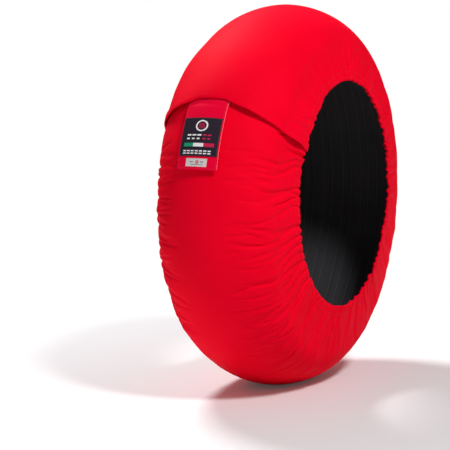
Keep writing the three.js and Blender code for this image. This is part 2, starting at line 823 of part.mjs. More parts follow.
const warmer = new THREE.Group();
const { gland, nut, patchPiece } = glandPieces();
warmer.add(
  cutBy(outerCover(), glandHole()),
  cutBy(insulationFelt(), feltPocket()),
  heatingCable(),
  innerLining(),
  hemElastic('left_hem_elastic', hemLeft),
  hemElastic('right_hem_elastic', hemRight),
  ...closureTapes(),
  ...tabTapes(),
  pullTab(),
  ...tabBadges(),
  ...circuitParts(),
  ...innerLeads(),
  gland,
  nut,
  cutBy(patchPiece, glandHole()),
);

export default warmer;
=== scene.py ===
# %% [markdown]
# # A motorcycle tire warmer
#
# This lesson dresses a heated cloth cover for a rear tire. The real one is a ring of red
# nylon over felt, with a heating cable quilted to a dark lining, elastic in both hems and a
# flap with a pull tab that closes the ring at the front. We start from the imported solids,
# keep the hidden hard pieces as they are, and sew every soft piece again as fine cloth.

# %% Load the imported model
import math
import time

import bmesh
import bpy
import numpy as np
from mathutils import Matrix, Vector


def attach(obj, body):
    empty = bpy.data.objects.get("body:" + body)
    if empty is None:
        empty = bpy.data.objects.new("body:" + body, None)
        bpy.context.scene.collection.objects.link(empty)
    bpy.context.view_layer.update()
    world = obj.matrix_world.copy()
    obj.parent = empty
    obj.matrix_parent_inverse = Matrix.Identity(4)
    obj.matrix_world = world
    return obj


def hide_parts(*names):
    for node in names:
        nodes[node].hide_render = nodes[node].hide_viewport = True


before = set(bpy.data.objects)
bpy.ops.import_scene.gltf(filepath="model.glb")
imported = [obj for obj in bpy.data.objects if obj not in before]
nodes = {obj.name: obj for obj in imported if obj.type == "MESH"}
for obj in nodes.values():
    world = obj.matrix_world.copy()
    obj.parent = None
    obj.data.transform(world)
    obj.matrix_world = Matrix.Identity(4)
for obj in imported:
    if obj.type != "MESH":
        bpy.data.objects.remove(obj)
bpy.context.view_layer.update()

print("nodes:", len(nodes))

# %% [markdown]
# ## Sizes
#
# These are the sizes that the solids were made from, in metres and degrees. Angles go round
# the ring from the front over the top. They are unrolled: they fall from the lower end, past
# the front, the floor, the back and the top, to the flap's edge.

# %% The ring's sizes
CROWN_RADIUS = 0.336
SHOULDER_RADIUS = 0.270
SHOULDER_HALF_WIDTH = 0.1035
CROWN_POWER = 1.85
HEM_RADIUS = 0.199
HEM_HALF_WIDTH = 0.1175
HEM_RISE = 0.0085
FLAT_DEPTH = 0.0045
AXLE_HEIGHT = CROWN_RADIUS - FLAT_DEPTH
CLOTH = 0.0012
CASING = 0.015
LINING_DEPTH = 0.0095
LOWER_END = 46.0
FLAP_EDGE = 33.2
FLAP_DROOP = 7.0
FLAP_RISE = 18.0
FLAP_LIFT = 0.0047
TAB_WIDTH = 0.072
TAB_OFFSET = 0.0045
TAB_END = 12.2
TAB_ROOT = 38.0
TAPE_INSET = 0.005
GLAND_ANGLE = 94.5 - 360.0
GLAND_ARC = 0.1014
print("outside diameter:", 2 * CROWN_RADIUS)

# %% [markdown]
# ## Camera
#
# The camera stands where the photograph was taken: low, in front and to the right, with a
# long lens. Its place was found by fitting the ring's outline, its two hems and its axle.

# %% Camera
CAMERA_PLACE = (-3.0715, -1.4298, 0.3574 + AXLE_HEIGHT)
CAMERA_TARGET = (-0.05351, 0.09197, -0.05251 + AXLE_HEIGHT)
FOCAL_LENGTH = 153.68


def look_along(place, target):
    """The rotation that points an object's -Z at a target with its Y upwards."""
    return (Vector(target) - Vector(place)).to_track_quat("-Z", "Y").to_euler()


camera = bpy.data.objects.new("camera", bpy.data.cameras.new("camera"))
camera.data.sensor_width = 36.0
camera.data.lens = FOCAL_LENGTH
camera.location = CAMERA_PLACE
camera.rotation_euler = look_along(CAMERA_PLACE, CAMERA_TARGET)
bpy.context.scene.collection.objects.link(camera)
bpy.context.scene.camera = camera
print("camera at", CAMERA_PLACE)

# %% [markdown]
# ## Stage and light
#
# The object stands on a pale floor under three studio lamps. The key lamp stands high to the
# right of the camera, so the near shoulder is bright and the tread falls off to the left. A
# lamp behind throws the soft shadow to the front. Far from the object the floor turns into
# plain white, so it has no horizon.

# %% Node helpers, floor and world
scene = bpy.context.scene
scene.view_settings.view_transform = "Standard"


def link(tree, start, end):
    tree.links.new(start, end)


def add_node(tree, kind, inputs=(), **settings):
    """A node with its settings. An input takes a value, or the output that feeds it."""
    node = tree.nodes.new(kind)
    for name, value in settings.items():
        setattr(node, name, value)
    for label, value in dict(inputs).items():
        if isinstance(value, bpy.types.NodeSocket):
            link(tree, value, node.inputs[label])
        else:
            node.inputs[label].default_value = value
    return node


def math_node(tree, operation, *values):
    node = add_node(tree, "ShaderNodeMath", enumerate(values), operation=operation)
    return node.outputs["Value"]


def mix_shaders(tree, factor, first, second, end):
    """Ends a tree in a mix of two shaders."""
    mix = add_node(tree, "ShaderNodeMixShader", {"Fac": factor, 1: first, 2: second})
    link(tree, mix.outputs["Shader"], tree.nodes[end].inputs["Surface"])


def new_material(name):
    """A material, its node tree and its Principled BSDF."""
    material = bpy.data.materials.new(name)
    material.use_nodes = True
    tree = material.node_tree
    return material, tree, tree.nodes["Principled BSDF"]


WHITE = (1, 1, 1, 1)
FLOOR_COLOR = (0.86, 0.86, 0.87, 1)
FLOOR_SIZE = 12.0
FADE_FROM, FADE_TO = 0.55, 1.5
NEAR_WHITE = 0.04
WORLD_STRENGTH = 0.16


def floor_material():
    """Pale paper near the object, which the camera sees turn into plain white further out."""
    material, tree, shader = new_material("floor_paper")
    shader.inputs["Base Color"].default_value = FLOOR_COLOR
    shader.inputs["Roughness"].default_value = 0.6
    shader.inputs["Specular IOR Level"].default_value = 0.2
    place = add_node(tree, "ShaderNodeTexCoord").outputs["Object"]
    length = add_node(tree, "ShaderNodeVectorMath", {0: place}, operation="LENGTH")
    fade = add_node(
        tree, "ShaderNodeMapRange",
        {"Value": length.outputs["Value"], "From Min": FADE_FROM, "From Max": FADE_TO,
         "To Min": NEAR_WHITE},
        interpolation_type="SMOOTHSTEP",
    )
    path = add_node(tree, "ShaderNodeLightPath").outputs["Is Camera Ray"]
    seen = math_node(tree, "MULTIPLY", fade.outputs["Result"], path)
    white = add_node(tree, "ShaderNodeEmission").outputs["Emission"]
    mix_shaders(tree, seen, shader.outputs["BSDF"], white, "Material Output")
    return material


def add_floor(size):
    mesh = bpy.data.meshes.new("floor")
    corners = [(-size, -size, 0), (size, -size, 0), (size, size, 0), (-size, size, 0)]
    mesh.from_pydata(corners, [], [(0, 1, 2, 3)])
    mesh.materials.append(floor_material())
    floor = bpy.data.objects.new("floor", mesh)
    scene.collection.objects.link(floor)
    return floor


def add_world(strength):
    """Even white light from all round, and plain white where the camera sees past the floor."""
    world = bpy.data.worlds.new("studio")
    scene.world = world
    world.use_nodes = True
    tree = world.node_tree
    around = tree.nodes["Background"]
    around.inputs["Color"].default_value = WHITE
    around.inputs["Strength"].default_value = strength
    seen = add_node(tree, "ShaderNodeBackground", {"Color": WHITE}).outputs["Background"]
    path = add_node(tree, "ShaderNodeLightPath").outputs["Is Camera Ray"]
    mix_shaders(tree, path, around.outputs["Background"], seen, "World Output")


add_floor(FLOOR_SIZE)
add_world(WORLD_STRENGTH)
print("floor and world are ready")


# %% Lamps
def add_lamp(name, place, size, watts):
    lamp = bpy.data.lights.new(name, "AREA")
    lamp.shape = "DISK"
    lamp.size = size
    lamp.energy = watts
    holder = bpy.data.objects.new(name, lamp)
    holder.location = place
    holder.rotation_euler = look_along(place, (0, 0, AXLE_HEIGHT))
    scene.collection.objects.link(holder)
    return holder


add_lamp("key_lamp", (-1.2, -2.0, 3.0), 0.7, 92)
add_lamp("back_lamp", (0.8, 1.5, 2.5), 0.8, 78)
add_lamp("fill_lamp", (-3.0, 1.0, 0.9), 2.0, 5)
print("lamps are ready")

# %% [markdown]
# ## The ring as a surface
#
# Every soft piece lies on the same surface: an angle round the ring, an arc length across it
# and a height over the skin. One function turns those three into a point, so a patch, a seam
# or a hem only has to say where it lies. The arc length is 0 in the middle of the tread and
# positive to the left side.


# %% The section's table
def section_table():
    """Arc length, y, radius and outward normal from the middle of the tread to the hem."""
    turn = np.linspace(0, np.pi / 2, 400)
    y = SHOULDER_HALF_WIDTH * np.sin(turn) ** (2 / CROWN_POWER)
    r = SHOULDER_RADIUS + (CROWN_RADIUS - SHOULDER_RADIUS) * np.maximum(np.cos(turn), 0) ** (
        2 / CROWN_POWER
    )
    down = np.linspace(0, 1, 120)[1:]
    y = np.append(y, SHOULDER_HALF_WIDTH + (HEM_HALF_WIDTH - SHOULDER_HALF_WIDTH) * down**1.5)
    r = np.append(r, SHOULDER_RADIUS + (HEM_RADIUS - SHOULDER_RADIUS) * down)
    arc = np.append(0, np.cumsum(np.hypot(np.diff(y), np.diff(r))))
    ty, tr = np.gradient(y, arc), np.gradient(r, arc)
    size = np.hypot(ty, tr)
    return arc, y, r, -tr / size, ty / size


ARC, ARC_Y, ARC_R, ARC_NY, ARC_NR = section_table()
SHOULDER_ARC = float(ARC[399])
HEM_ARC = float(ARC[-1])
print(f"shoulder at {SHOULDER_ARC:.4f} m, hem at {HEM_ARC:.4f} m across")


# %% From angle, arc and height to a point
NORMAL_STEP = 0.001
HEM_FOLD = 0.017


def skirt_share(arc):
    """0 up to the shoulder, 1 in the hem's fold."""
    return np.clip((np.abs(arc) - SHOULDER_ARC) / (HEM_ARC - HEM_FOLD - SHOULDER_ARC), 0, 1)


def across(arc):
    """y, radius and normal at arc lengths on either side of the tread's middle."""
    far, side = np.minimum(np.abs(arc), HEM_ARC), np.sign(arc)
    y = np.interp(far, ARC, ARC_Y) * side
    ny = np.interp(far, ARC, ARC_NY) * side
    return y, np.interp(far, ARC, ARC_R), ny, np.interp(far, ARC, ARC_NR)


def on_ring(angle, arc, height=0.0):
    """Points on the ring, in metres, as an array with a last axis of three."""
    angle, arc, height = np.broadcast_arrays(
        np.asarray(angle, float), np.asarray(arc, float), np.asarray(height, float)
    )
    y, r, ny, nr = across(arc)
    turn = np.radians(angle)
    rise = AXLE_HEIGHT + HEM_RISE * skirt_share(arc)
    push = np.maximum(0, -(rise + r * np.sin(turn)))
    r = r + nr * height
    return np.stack([-r * np.cos(turn), y + ny * height, rise + push + r * np.sin(turn)], -1)


def smooth(value):
    value = np.clip(value, 0, 1)
    return value * value * (3 - 2 * value)


def bump(value, middle, half_width):
    """A soft hill of height 1 that ends half a width away from its middle."""
    return smooth(1 - np.abs(value - middle) / half_width)


def flap_lift(angle):
    """How far the cover is lifted off the padding as it climbs on to its lower end."""
    return FLAP_LIFT * smooth((LOWER_END + FLAP_RISE - 360 - angle) / (FLAP_RISE - 2))


def flap_hang(arc):
    """How many degrees lower than at the crown the flap's edge lies."""
    share = np.abs(arc) / HEM_ARC
    return FLAP_DROOP * (np.clip(share - 0.12, 0, 1) / 0.88) ** 0.75


print("the crown's top is at", on_ring(90, 0).round(4))


# %% [markdown]
# ## From grids to pieces
#
# Cloth pieces are grids. A grid keeps its own coordinates as a UV map in metres, so a weave
# can follow the cloth round the ring. The helper below makes the mesh with numpy arrays,
# because a loop over a hundred thousand points would be slow.


# %% Grid pieces
def grid_faces(rows, columns):
    index = np.arange(rows * columns).reshape(rows, columns)
    a, b = index[:-1, :-1], index[:-1, 1:]
    c, d = index[1:, 1:], index[1:, :-1]
    return np.stack([a, b, c, d], -1).reshape(-1, 4)


def mesh_from(points, faces, uv, name):
    """A mesh from an (n, 3) array, an (m, 4) array and one UV place for each point."""
    mesh = bpy.data.meshes.new(name)
    mesh.vertices.add(len(points))
    mesh.vertices.foreach_set("co", np.ascontiguousarray(points, np.float32).ravel())
    mesh.loops.add(faces.size)
    mesh.loops.foreach_set("vertex_index", faces.ravel().astype(np.int32))
    mesh.polygons.add(len(faces))
    mesh.polygons.foreach_set("loop_start", np.arange(0, faces.size, 4, dtype=np.int32))
    mesh.update(calc_edges=True)
    layer = mesh.uv_layers.new(name="cloth")
    layer.data.foreach_set("uv", np.ascontiguousarray(uv[faces.ravel()], np.float32).ravel())
    mesh.polygons.foreach_set("use_smooth", np.ones(len(faces), bool))
    mesh.validate()
    return mesh


def piece_from(mesh, *materials):
    piece = bpy.data.objects.new(mesh.name, mesh)
    for material in materials:
        mesh.materials.append(material)
    scene.collection.objects.link(piece)
    return piece


def cloth_grid(name, points, along, over, material):
    """A sheet from a (rows, columns, 3) array of points, facing out of the ring."""
    rows, columns = points.shape[:2]
    uv = np.stack(np.broadcast_arrays(along, over), -1).reshape(-1, 2)
    faces = grid_faces(rows, columns)[:, ::-1]
    return piece_from(mesh_from(points.reshape(-1, 3), faces, uv, name), material)


print("grid helpers are ready")

# %% [markdown]
# ## Effects that several materials share
#
# Many finishes here use a weave, or a fine grain with a slow change, so each of the two is a
# shader group with its own inputs, built once. The groups put out only values; every
# material keeps its own Principled BSDF.


# %% Group helpers
def new_group(name, inputs, outputs, kind="ShaderNodeTree"):
    tree = bpy.data.node_groups.new(name, kind)
    for label, socket_type, value in inputs:
        socket = tree.interface.new_socket(label, in_out="INPUT", socket_type=socket_type)
        if value is not None:
            socket.default_value = value
    for label, socket_type in outputs:
        tree.interface.new_socket(label, in_out="OUTPUT", socket_type=socket_type)
    return tree, tree.nodes.new("NodeGroupInput"), tree.nodes.new("NodeGroupOutput")


FLOAT, VECTOR, GEOMETRY = "NodeSocketFloat", "NodeSocketVector", "NodeSocketGeometry"
print("group helpers are ready")


# %% The weave group
def weave_group():
    """A plain weave: threads that pass over and under each other, from a vector in metres."""
    tree, start, end = new_group(
        "weave",
        [("Vector", VECTOR, None), ("Threads per Metre", FLOAT, 1800.0), ("Depth", FLOAT, 0.4)],
        [("Height", FLOAT), ("Shade", FLOAT)],
    )
    apart = add_node(tree, "ShaderNodeSeparateXYZ", {"Vector": start.outputs["Vector"]})
    pitch = math_node(tree, "MULTIPLY", start.outputs["Threads per Metre"], math.pi)
    warp = math_node(tree, "SINE", math_node(tree, "MULTIPLY", apart.outputs["X"], pitch))
    weft = math_node(tree, "SINE", math_node(tree, "MULTIPLY", apart.outputs["Y"], pitch))
    crossing = math_node(tree, "MULTIPLY", warp, weft)
    rounded = math_node(tree, "MULTIPLY_ADD", crossing, 0.5, 0.5)
    height = math_node(tree, "MULTIPLY", rounded, start.outputs["Depth"])
    link(tree, height, end.inputs["Height"])
    link(tree, rounded, end.inputs["Shade"])
    return tree


def grain_group():
    """Fine grain and a slow change, from a vector in metres."""
    tree, start, end = new_group(
        "grain",
        [("Vector", VECTOR, None), ("Fine Scale", FLOAT, 900.0), ("Slow Scale", FLOAT, 9.0)],
        [("Fine", FLOAT), ("Slow", FLOAT)],
    )
    for label, scale, detail in (("Fine", "Fine Scale", 2.0), ("Slow", "Slow Scale", 3.0)):
        inputs = {"Vector": start.outputs["Vector"], "Scale": start.outputs[scale]}
        noise = add_node(tree, "ShaderNodeTexNoise", {**inputs, "Detail": detail})
        link(tree, noise.outputs["Fac"], end.inputs[label])
    return tree


WEAVE = weave_group()
GRAIN = grain_group()
print("groups:", WEAVE.name, GRAIN.name)


# %% [markdown]
# ## Cloth finishes
#
# The cover is closely woven nylon with a soft sheen: at arm's length the threads can't be
# told apart, but they break up the light. Each cloth mixes two near colours by a slow noise
# and the weave, roughens a little where the threads dip, and bumps the light with the
# threads' height.


# %% Cloth materials
def mix_color(tree, factor, dark, light):
    """A colour between two, as an output."""
    inputs = {"Factor": factor, "A": (*dark, 1), "B": (*light, 1)}
    return add_node(tree, "ShaderNodeMix", inputs, data_type="RGBA").outputs["Result"]


def use_group(tree, group, vector, **values):
    """A group node whose inputs are named by the values' keywords."""
    node = add_node(tree, "ShaderNodeGroup", node_tree=group)
    link(tree, vector, node.inputs["Vector"])
    for label, value in values.items():
        node.inputs[label.replace("_", " ")].default_value = value
    return node


def add_relief(tree, shader, height, distance, strength):
    relief = add_node(
        tree, "ShaderNodeBump", {"Height": height, "Distance": distance, "Strength": strength}
    )
    link(tree, relief.outputs["Normal"], shader.inputs["Normal"])


def cloth(name, light, dark, threads, roughness, bump_height, sheen=0.0, sheen_tint=(1, 1, 1)):
    """A woven cloth that reads its piece's own UV map, in metres."""
    material, tree, shader = new_material(name)
    place = tree.nodes.new("ShaderNodeTexCoord")
    weave = use_group(tree, WEAVE, place.outputs["UV"], Threads_per_Metre=threads, Depth=1.0)
    grain = use_group(tree, GRAIN, place.outputs["Object"], Fine_Scale=1400.0, Slow_Scale=8.0)
    slow = math_node(tree, "MULTIPLY_ADD", grain.outputs["Slow"], 1.6, -0.3)
    shade = math_node(tree, "MULTIPLY_ADD", weave.outputs["Shade"], 0.35, slow)
    color = mix_color(tree, shade, dark, light)
    link(tree, color, shader.inputs["Base Color"])
    rough = math_node(tree, "MULTIPLY_ADD", weave.outputs["Shade"], -0.12, roughness + 0.06)
    link(tree, rough, shader.inputs["Roughness"])
    height = math_node(tree, "MULTIPLY_ADD", grain.outputs["Fine"], 0.5, weave.outputs["Height"])
    add_relief(tree, shader, height, bump_height, 0.6)
    shader.inputs["Specular IOR Level"].default_value = 0.02
    shader.inputs["Sheen Weight"].default_value = sheen
    shader.inputs["Sheen Roughness"].default_value = 0.4
    shader.inputs["Sheen Tint"].default_value = (*sheen_tint, 1)
    return material


RED_SHEEN = (0.01, (1, 0, 0))
RED = cloth(
    "red_nylon", (0.90, 0.0003, 0.020), (0.80, 0.0002, 0.013), 2200, 0.66, 0.00008, *RED_SHEEN
)
TAB_RED = cloth(
    "tab_nylon", (0.86, 0.0015, 0.038), (0.78, 0.001, 0.030), 2200, 0.62, 0.00008, *RED_SHEEN
)
LINING = cloth("lining_cloth", (0.040, 0.040, 0.043), (0.026, 0.026, 0.029), 1400, 0.85, 0.0001)
FELT = cloth("felt", (0.60, 0.57, 0.50), (0.50, 0.47, 0.41), 500, 0.95, 0.0003)
ELASTIC = cloth("woven_elastic", (0.02, 0.02, 0.022), (0.012, 0.012, 0.013), 700, 0.8, 0.0002)
LOOP = cloth("loop_pile", (0.016, 0.016, 0.018), (0.008, 0.008, 0.009), 420, 0.95, 0.0004)
HOOK = cloth("hook_tape", (0.013, 0.013, 0.014), (0.007, 0.007, 0.008), 600, 0.6, 0.0004)
print("cloths are ready")


# %% [markdown]
# ## Thread, rubber and metal
#
# The remaining finishes are plain: sewing thread with its twist, moulded rubber with a fine
# grain, silicone sheaths and plated metal. The pale thread also carries a painted highlight
# along the tab's edge.


# %% Hard materials
def grained(name, light, dark, roughness, bump_height, metallic=0.0, fine=700.0, slow=30.0):
    """A moulded or plated finish on Object coordinates."""
    material, tree, shader = new_material(name)
    place = tree.nodes.new("ShaderNodeTexCoord")
    grain = use_group(tree, GRAIN, place.outputs["Object"], Fine_Scale=fine, Slow_Scale=slow)
    color = mix_color(tree, grain.outputs["Slow"], dark, light)
    link(tree, color, shader.inputs["Base Color"])
    rough = math_node(tree, "MULTIPLY_ADD", grain.outputs["Slow"], 0.16, roughness - 0.08)
    link(tree, rough, shader.inputs["Roughness"])
    add_relief(tree, shader, grain.outputs["Fine"], bump_height, 0.5)
    shader.inputs["Metallic"].default_value = metallic
    return material


THREAD = grained("red_thread", (0.78, 0.006, 0.03), (0.62, 0.004, 0.02), 0.6, 0.00005, fine=3000.0)
DARK_THREAD = grained("dark_thread", (0.13, 0.13, 0.14), (0.09, 0.09, 0.10), 0.7, 0.00005)
# Pale pink: the label's real thread, and also a painted highlight along the tab's right edge and
# end.
PALE_THREAD_AND_EDGE_HIGHLIGHT = grained("pale_thread_and_edge_highlight", (0.82, 0.36, 0.40), (0.70, 0.25, 0.30), 0.6, 0.00005)
RUBBER = grained("moulded_rubber", (0.018, 0.018, 0.018), (0.012, 0.012, 0.012), 0.62, 0.00008)
NUT = grained("moulded_nut", (0.03, 0.03, 0.03), (0.02, 0.02, 0.02), 0.5, 0.00006)
SILICONE = grained("silicone_cable", (0.36, 0.03, 0.015), (0.28, 0.02, 0.01), 0.5, 0.00004)
BROWN = grained("brown_sheath", (0.10, 0.035, 0.015), (0.07, 0.024, 0.01), 0.45, 0.00003)
BLUE = grained("blue_sheath", (0.02, 0.09, 0.30), (0.015, 0.07, 0.24), 0.45, 0.00003)
NICKEL = grained("nickel_can", (0.62, 0.62, 0.64), (0.50, 0.50, 0.52), 0.32, 0.00003, 1.0)
TINNED = grained("tinned_sleeve", (0.66, 0.60, 0.46), (0.52, 0.46, 0.34), 0.35, 0.00003, 1.0)
print("hard finishes are ready")

# %% The hard pieces keep their solids
HARD = {
    "insulation_felt": FELT,
    "heating_cable": SILICONE,
    "thermostat": NICKEL,
    "thermal_fuse": NICKEL,
    "live_crimp": TINNED,
    "neutral_crimp": TINNED,
    "live_lead": BROWN,
    "thermostat_link": BROWN,
    "fuse_link": BROWN,
    "neutral_lead": BLUE,
    "cable_gland": RUBBER,
    "gland_nut": NUT,
}
for name, material in HARD.items():
    body = nodes[name]
    body.data.materials.clear()
    body.data.materials.append(material)
print("dressed solids:", len(HARD))

# %% [markdown]
# ## How the cover wrinkles
#
# The skirts are cut longer round the ring than the tire's side wall is, and the elastic
# gathers that spare cloth at the hem. That is just what the simulation is given: the fitted
# ring is the start, a second shape with longer skirts is the cut that the cloth wants to
# have, the tread is held, and Blender's cloth solver buckles the skirts into creases. It runs
# on a coarse grid and only its displacement is kept, so the fine cover can be laid out later
# with all its seams. The creases may puff out, but the padding hardly lets them in.

# %% The coarse cover and its cut
SIM_ROWS, SIM_COLUMNS = 561, 73
LAST_ANGLE = FLAP_EDGE - 360.0
SIM_FRAMES = 24
PUFF_LIMIT, SINK_LIMIT, SLIDE_LIMIT = 0.0075, 0.0014, 0.004
DROOP_FROM = -300.0
FLAP_GAP_FROM = -315.0
SAG_MIDDLE, SAG_REACH = -28.0, 62.0
SPARE_AT_SHOULDER, SPARE_AT_HEM, SPARE_BELOW_FLAP = 0.022, 0.085, 0.030
FREE_FROM, FREE_EARLIER, HEM_HOLD = 0.098, 0.036, 0.30
FIRST_RIPPLE = 0.0007
CLOTH_SETTINGS = {
    "quality": 4,
    "mass": 0.12,
    "tension_stiffness": 18,
    "compression_stiffness": 18,
    "shear_stiffness": 6,
    "bending_stiffness": 0.04,
    "tension_damping": 8,
    "compression_damping": 8,
    "air_damping": 3,
    "use_pressure": True,
    "uniform_pressure_force": 0.35,
    "vertex_group_mass": "held",
    "pin_stiffness": 1.0,
}


def drooped(along, arc):
    """The angle of a point that lies this far along the band: the flap's edge hangs lower."""
    share = np.clip((DROOP_FROM - along) / (DROOP_FROM - LAST_ANGLE), 0, 1) ** 1.6
    return along - flap_hang(arc) * share


def flap_gap(along, arc):
    """The flap stands off right beside the tab and again near the hem."""
    near_edge = np.clip((along - FLAP_GAP_FROM) / (LAST_ANGLE - FLAP_GAP_FROM), 0, 1) ** 2
    side = np.abs(arc)
    beside_tab = 0.0040 * bump(side, 0.062, 0.040)
    near_hem = 0.0042 * bump(side, 0.168, 0.034)
    return near_edge * (beside_tab + near_hem)


def fitted(along, arc, height=0.0):
    """The cover as it would lie without any crease."""
    angle = drooped(along, arc)
    return on_ring(angle, arc, flap_lift(angle) + flap_gap(along, arc) + height)


def sagging(along, middle=SAG_MIDDLE, reach=SAG_REACH):
    """1 below the flap, where only the elastic holds the cloth, and 0 far from there."""
    return bump(np.where(along < -180, along + 360, along), middle, reach)


def spare_cloth(along, arc):
    """The share by which the cut is longer round the ring than the fitted cover."""
    side = np.abs(arc)
    down = np.clip((side - SHOULDER_ARC + 0.012) / (HEM_ARC - SHOULDER_ARC + 0.012), 0, 1)
    front = SPARE_BELOW_FLAP * sagging(along) * smooth((side - 0.062) / 0.05)
    return SPARE_AT_SHOULDER * smooth(down / 0.35) + SPARE_AT_HEM * down**2 + front


def slow_noise(rows, columns, cells, seed):
    """A smooth field between -1 and 1 on a grid, from a few random cells."""
    random = np.random.default_rng(seed)
    coarse = random.uniform(-1, 1, (cells[0] + 3, cells[1] + 3))
    at_row = np.linspace(1, cells[0] + 1 - 1e-6, rows)[:, None]
    at_column = np.linspace(1, cells[1] + 1 - 1e-6, columns)[None, :]
    return resample(coarse[..., None], at_row, at_column)[..., 0]


def resample(grid, row, column):
    """Cubic interpolation of a (rows, columns, k) grid at fractional places."""
    row, column = np.broadcast_arrays(row, column)
    row = np.clip(row, 0, grid.shape[0] - 1)
    column = np.clip(column, 0, grid.shape[1] - 1)
    r0 = np.minimum(row.astype(int), grid.shape[0] - 2)
    c0 = np.minimum(column.astype(int), grid.shape[1] - 2)
    out = 0.0
    for dr, wr in zip((-1, 0, 1, 2), cubic_weights(row - r0)):
        rows_at = np.clip(r0 + dr, 0, grid.shape[0] - 1)
        for dc, wc in zip((-1, 0, 1, 2), cubic_weights(column - c0)):
            columns_at = np.clip(c0 + dc, 0, grid.shape[1] - 1)
            out = out + grid[rows_at, columns_at] * (wr * wc)[..., None]
    return out


def cubic_weights(t):
    return (
        -0.5 * t + t**2 - 0.5 * t**3,
        1 - 2.5 * t**2 + 1.5 * t**3,
        0.5 * t + 2 * t**2 - 1.5 * t**3,
        -0.5 * t**2 + 0.5 * t**3,
    )


SIM_ALONG = np.linspace(LOWER_END, LAST_ANGLE, SIM_ROWS)[:, None]
SIM_ARC = np.linspace(HEM_ARC, -HEM_ARC, SIM_COLUMNS)[None, :]
print("coarse cover:", SIM_ROWS * SIM_COLUMNS, "points")


# %% The cloth simulation
def cut_shape(start):
    """The start with longer skirts: further from the axle line, and as long across."""
    longer = 1 + spare_cloth(SIM_ALONG, SIM_ARC)
    radial = start * np.array([1, 0, 1]) - np.array([0, 0, AXLE_HEIGHT])
    cut = radial * longer[..., None] + np.array([0, 0, AXLE_HEIGHT])
    middle = SIM_COLUMNS // 2
    before = np.linalg.norm(np.diff(start, axis=1), axis=2)
    sideways = np.linalg.norm(np.diff(cut, axis=1), axis=2)
    step = np.sqrt(np.maximum(before**2 - sideways**2, (0.2 * before) ** 2))
    y = np.zeros(start.shape[:2])
    y[:, middle] = start[:, middle, 1]
    y[:, :middle] = y[:, [middle]] + np.cumsum(step[:, :middle][:, ::-1], axis=1)[:, ::-1]
    y[:, middle + 1 :] = y[:, [middle]] - np.cumsum(step[:, middle:], axis=1)
    cut[..., 1] = y
    return cut


def held_share():
    """1 where the tire stretches the cloth, and weak at the elastic."""
    side = np.abs(SIM_ARC)
    free_from = FREE_FROM - FREE_EARLIER * sagging(SIM_ALONG)
    held = 1 - smooth((side - free_from) / 0.034)
    at_hem = HEM_HOLD * smooth((side - HEM_ARC + 0.008) / 0.006)
    under_flap = smooth((SIM_ALONG - 36.0) / 4.0)
    return np.clip(np.maximum(held, np.maximum(at_hem, under_flap)), 0, 1)


def cloth_object(start, nudged):
    """The coarse cover with its cut as a second shape and its held points as a group."""
    faces = grid_faces(SIM_ROWS, SIM_COLUMNS)[:, ::-1]
    mesh = mesh_from(nudged.reshape(-1, 3), faces, np.zeros((start.size // 3, 2)), "coarse_cover")
    coarse = bpy.data.objects.new("coarse_cover", mesh)
    scene.collection.objects.link(coarse)
    coarse.shape_key_add(name="start")
    cut_key = coarse.shape_key_add(name="cut")
    cut_key.data.foreach_set("co", cut_shape(start).astype(np.float32).ravel())
    cut_key.value = 0.0
    group = coarse.vertex_groups.new(name="held")
    weights = held_share().ravel().round(2)
    for weight in np.unique(weights):
        group.add(np.flatnonzero(weights == weight).tolist(), float(weight), "REPLACE")
    modifier = coarse.modifiers.new("cloth", "CLOTH")
    for name, value in CLOTH_SETTINGS.items():
        setattr(modifier.settings, name, value)
    modifier.settings.effector_weights.gravity = 0
    modifier.settings.rest_shape_key = cut_key
    modifier.collision_settings.use_collision = False
    modifier.point_cache.frame_start = 1
    modifier.point_cache.frame_end = SIM_FRAMES
    return coarse


def buckled(coarse, shape):
    """Runs the frames and reads the points of the last one."""
    for frame_number in range(1, SIM_FRAMES + 1):
        scene.frame_set(frame_number)
    shaped = coarse.evaluated_get(bpy.context.evaluated_depsgraph_get()).to_mesh()
    points = np.empty(math.prod(shape), np.float32)
    shaped.vertices.foreach_get("co", points)
    bpy.data.objects.remove(coarse)
    scene.frame_set(1)
    return points.reshape(shape)


def simulated_cover():
    """How far the coarse cover moves along the ring's surface, and how far out of it."""
    start = fitted(SIM_ALONG, SIM_ARC)
    normal = fitted(SIM_ALONG, SIM_ARC, NORMAL_STEP) - start
    normal /= np.linalg.norm(normal, axis=2, keepdims=True)
    ripple = slow_noise(SIM_ROWS, SIM_COLUMNS, (150, 8), 7)
    ripple = ripple + slow_noise(SIM_ROWS, SIM_COLUMNS, (70, 5), 8)
    nudged = start + normal * (FIRST_RIPPLE * ripple * (1 - held_share()))[..., None]
    moved = buckled(cloth_object(start, nudged), start.shape) - start
    out = (moved * normal).sum(2)
    sideways = moved - normal * out[..., None]
    puffed, sunk = PUFF_LIMIT * np.tanh(out / PUFF_LIMIT), SINK_LIMIT * np.tanh(out / 0.003)
    far = np.linalg.norm(sideways, axis=2, keepdims=True)
    sideways *= np.minimum(1, SLIDE_LIMIT / np.maximum(far, 1e-9))
    print(f"creases: out {out.max() * 1000:.1f} mm, in {out.min() * 1000:.1f} mm")
    return sideways, np.where(out > 0, puffed, sunk)


started = time.time()
SIDEWAYS, PUFF = simulated_cover()
print(f"the cover's creases took {time.time() - started:.1f} s")

# %% [markdown]
# ## Long creases
#
# The solver gives the soft swelling and the small buckles. The long creases that run from
# the tire's shoulder to the hem are sharper than its grid, so they are drawn on a finer one:
# each is a narrow valley that starts near the shoulder, leans a little and gets deeper
# towards the elastic, and the cloth between two valleys puffs out. Below the flap, where
# nothing but the elastic holds the cloth, they start further out on the tread, and finer and
# shorter ones lie between them.

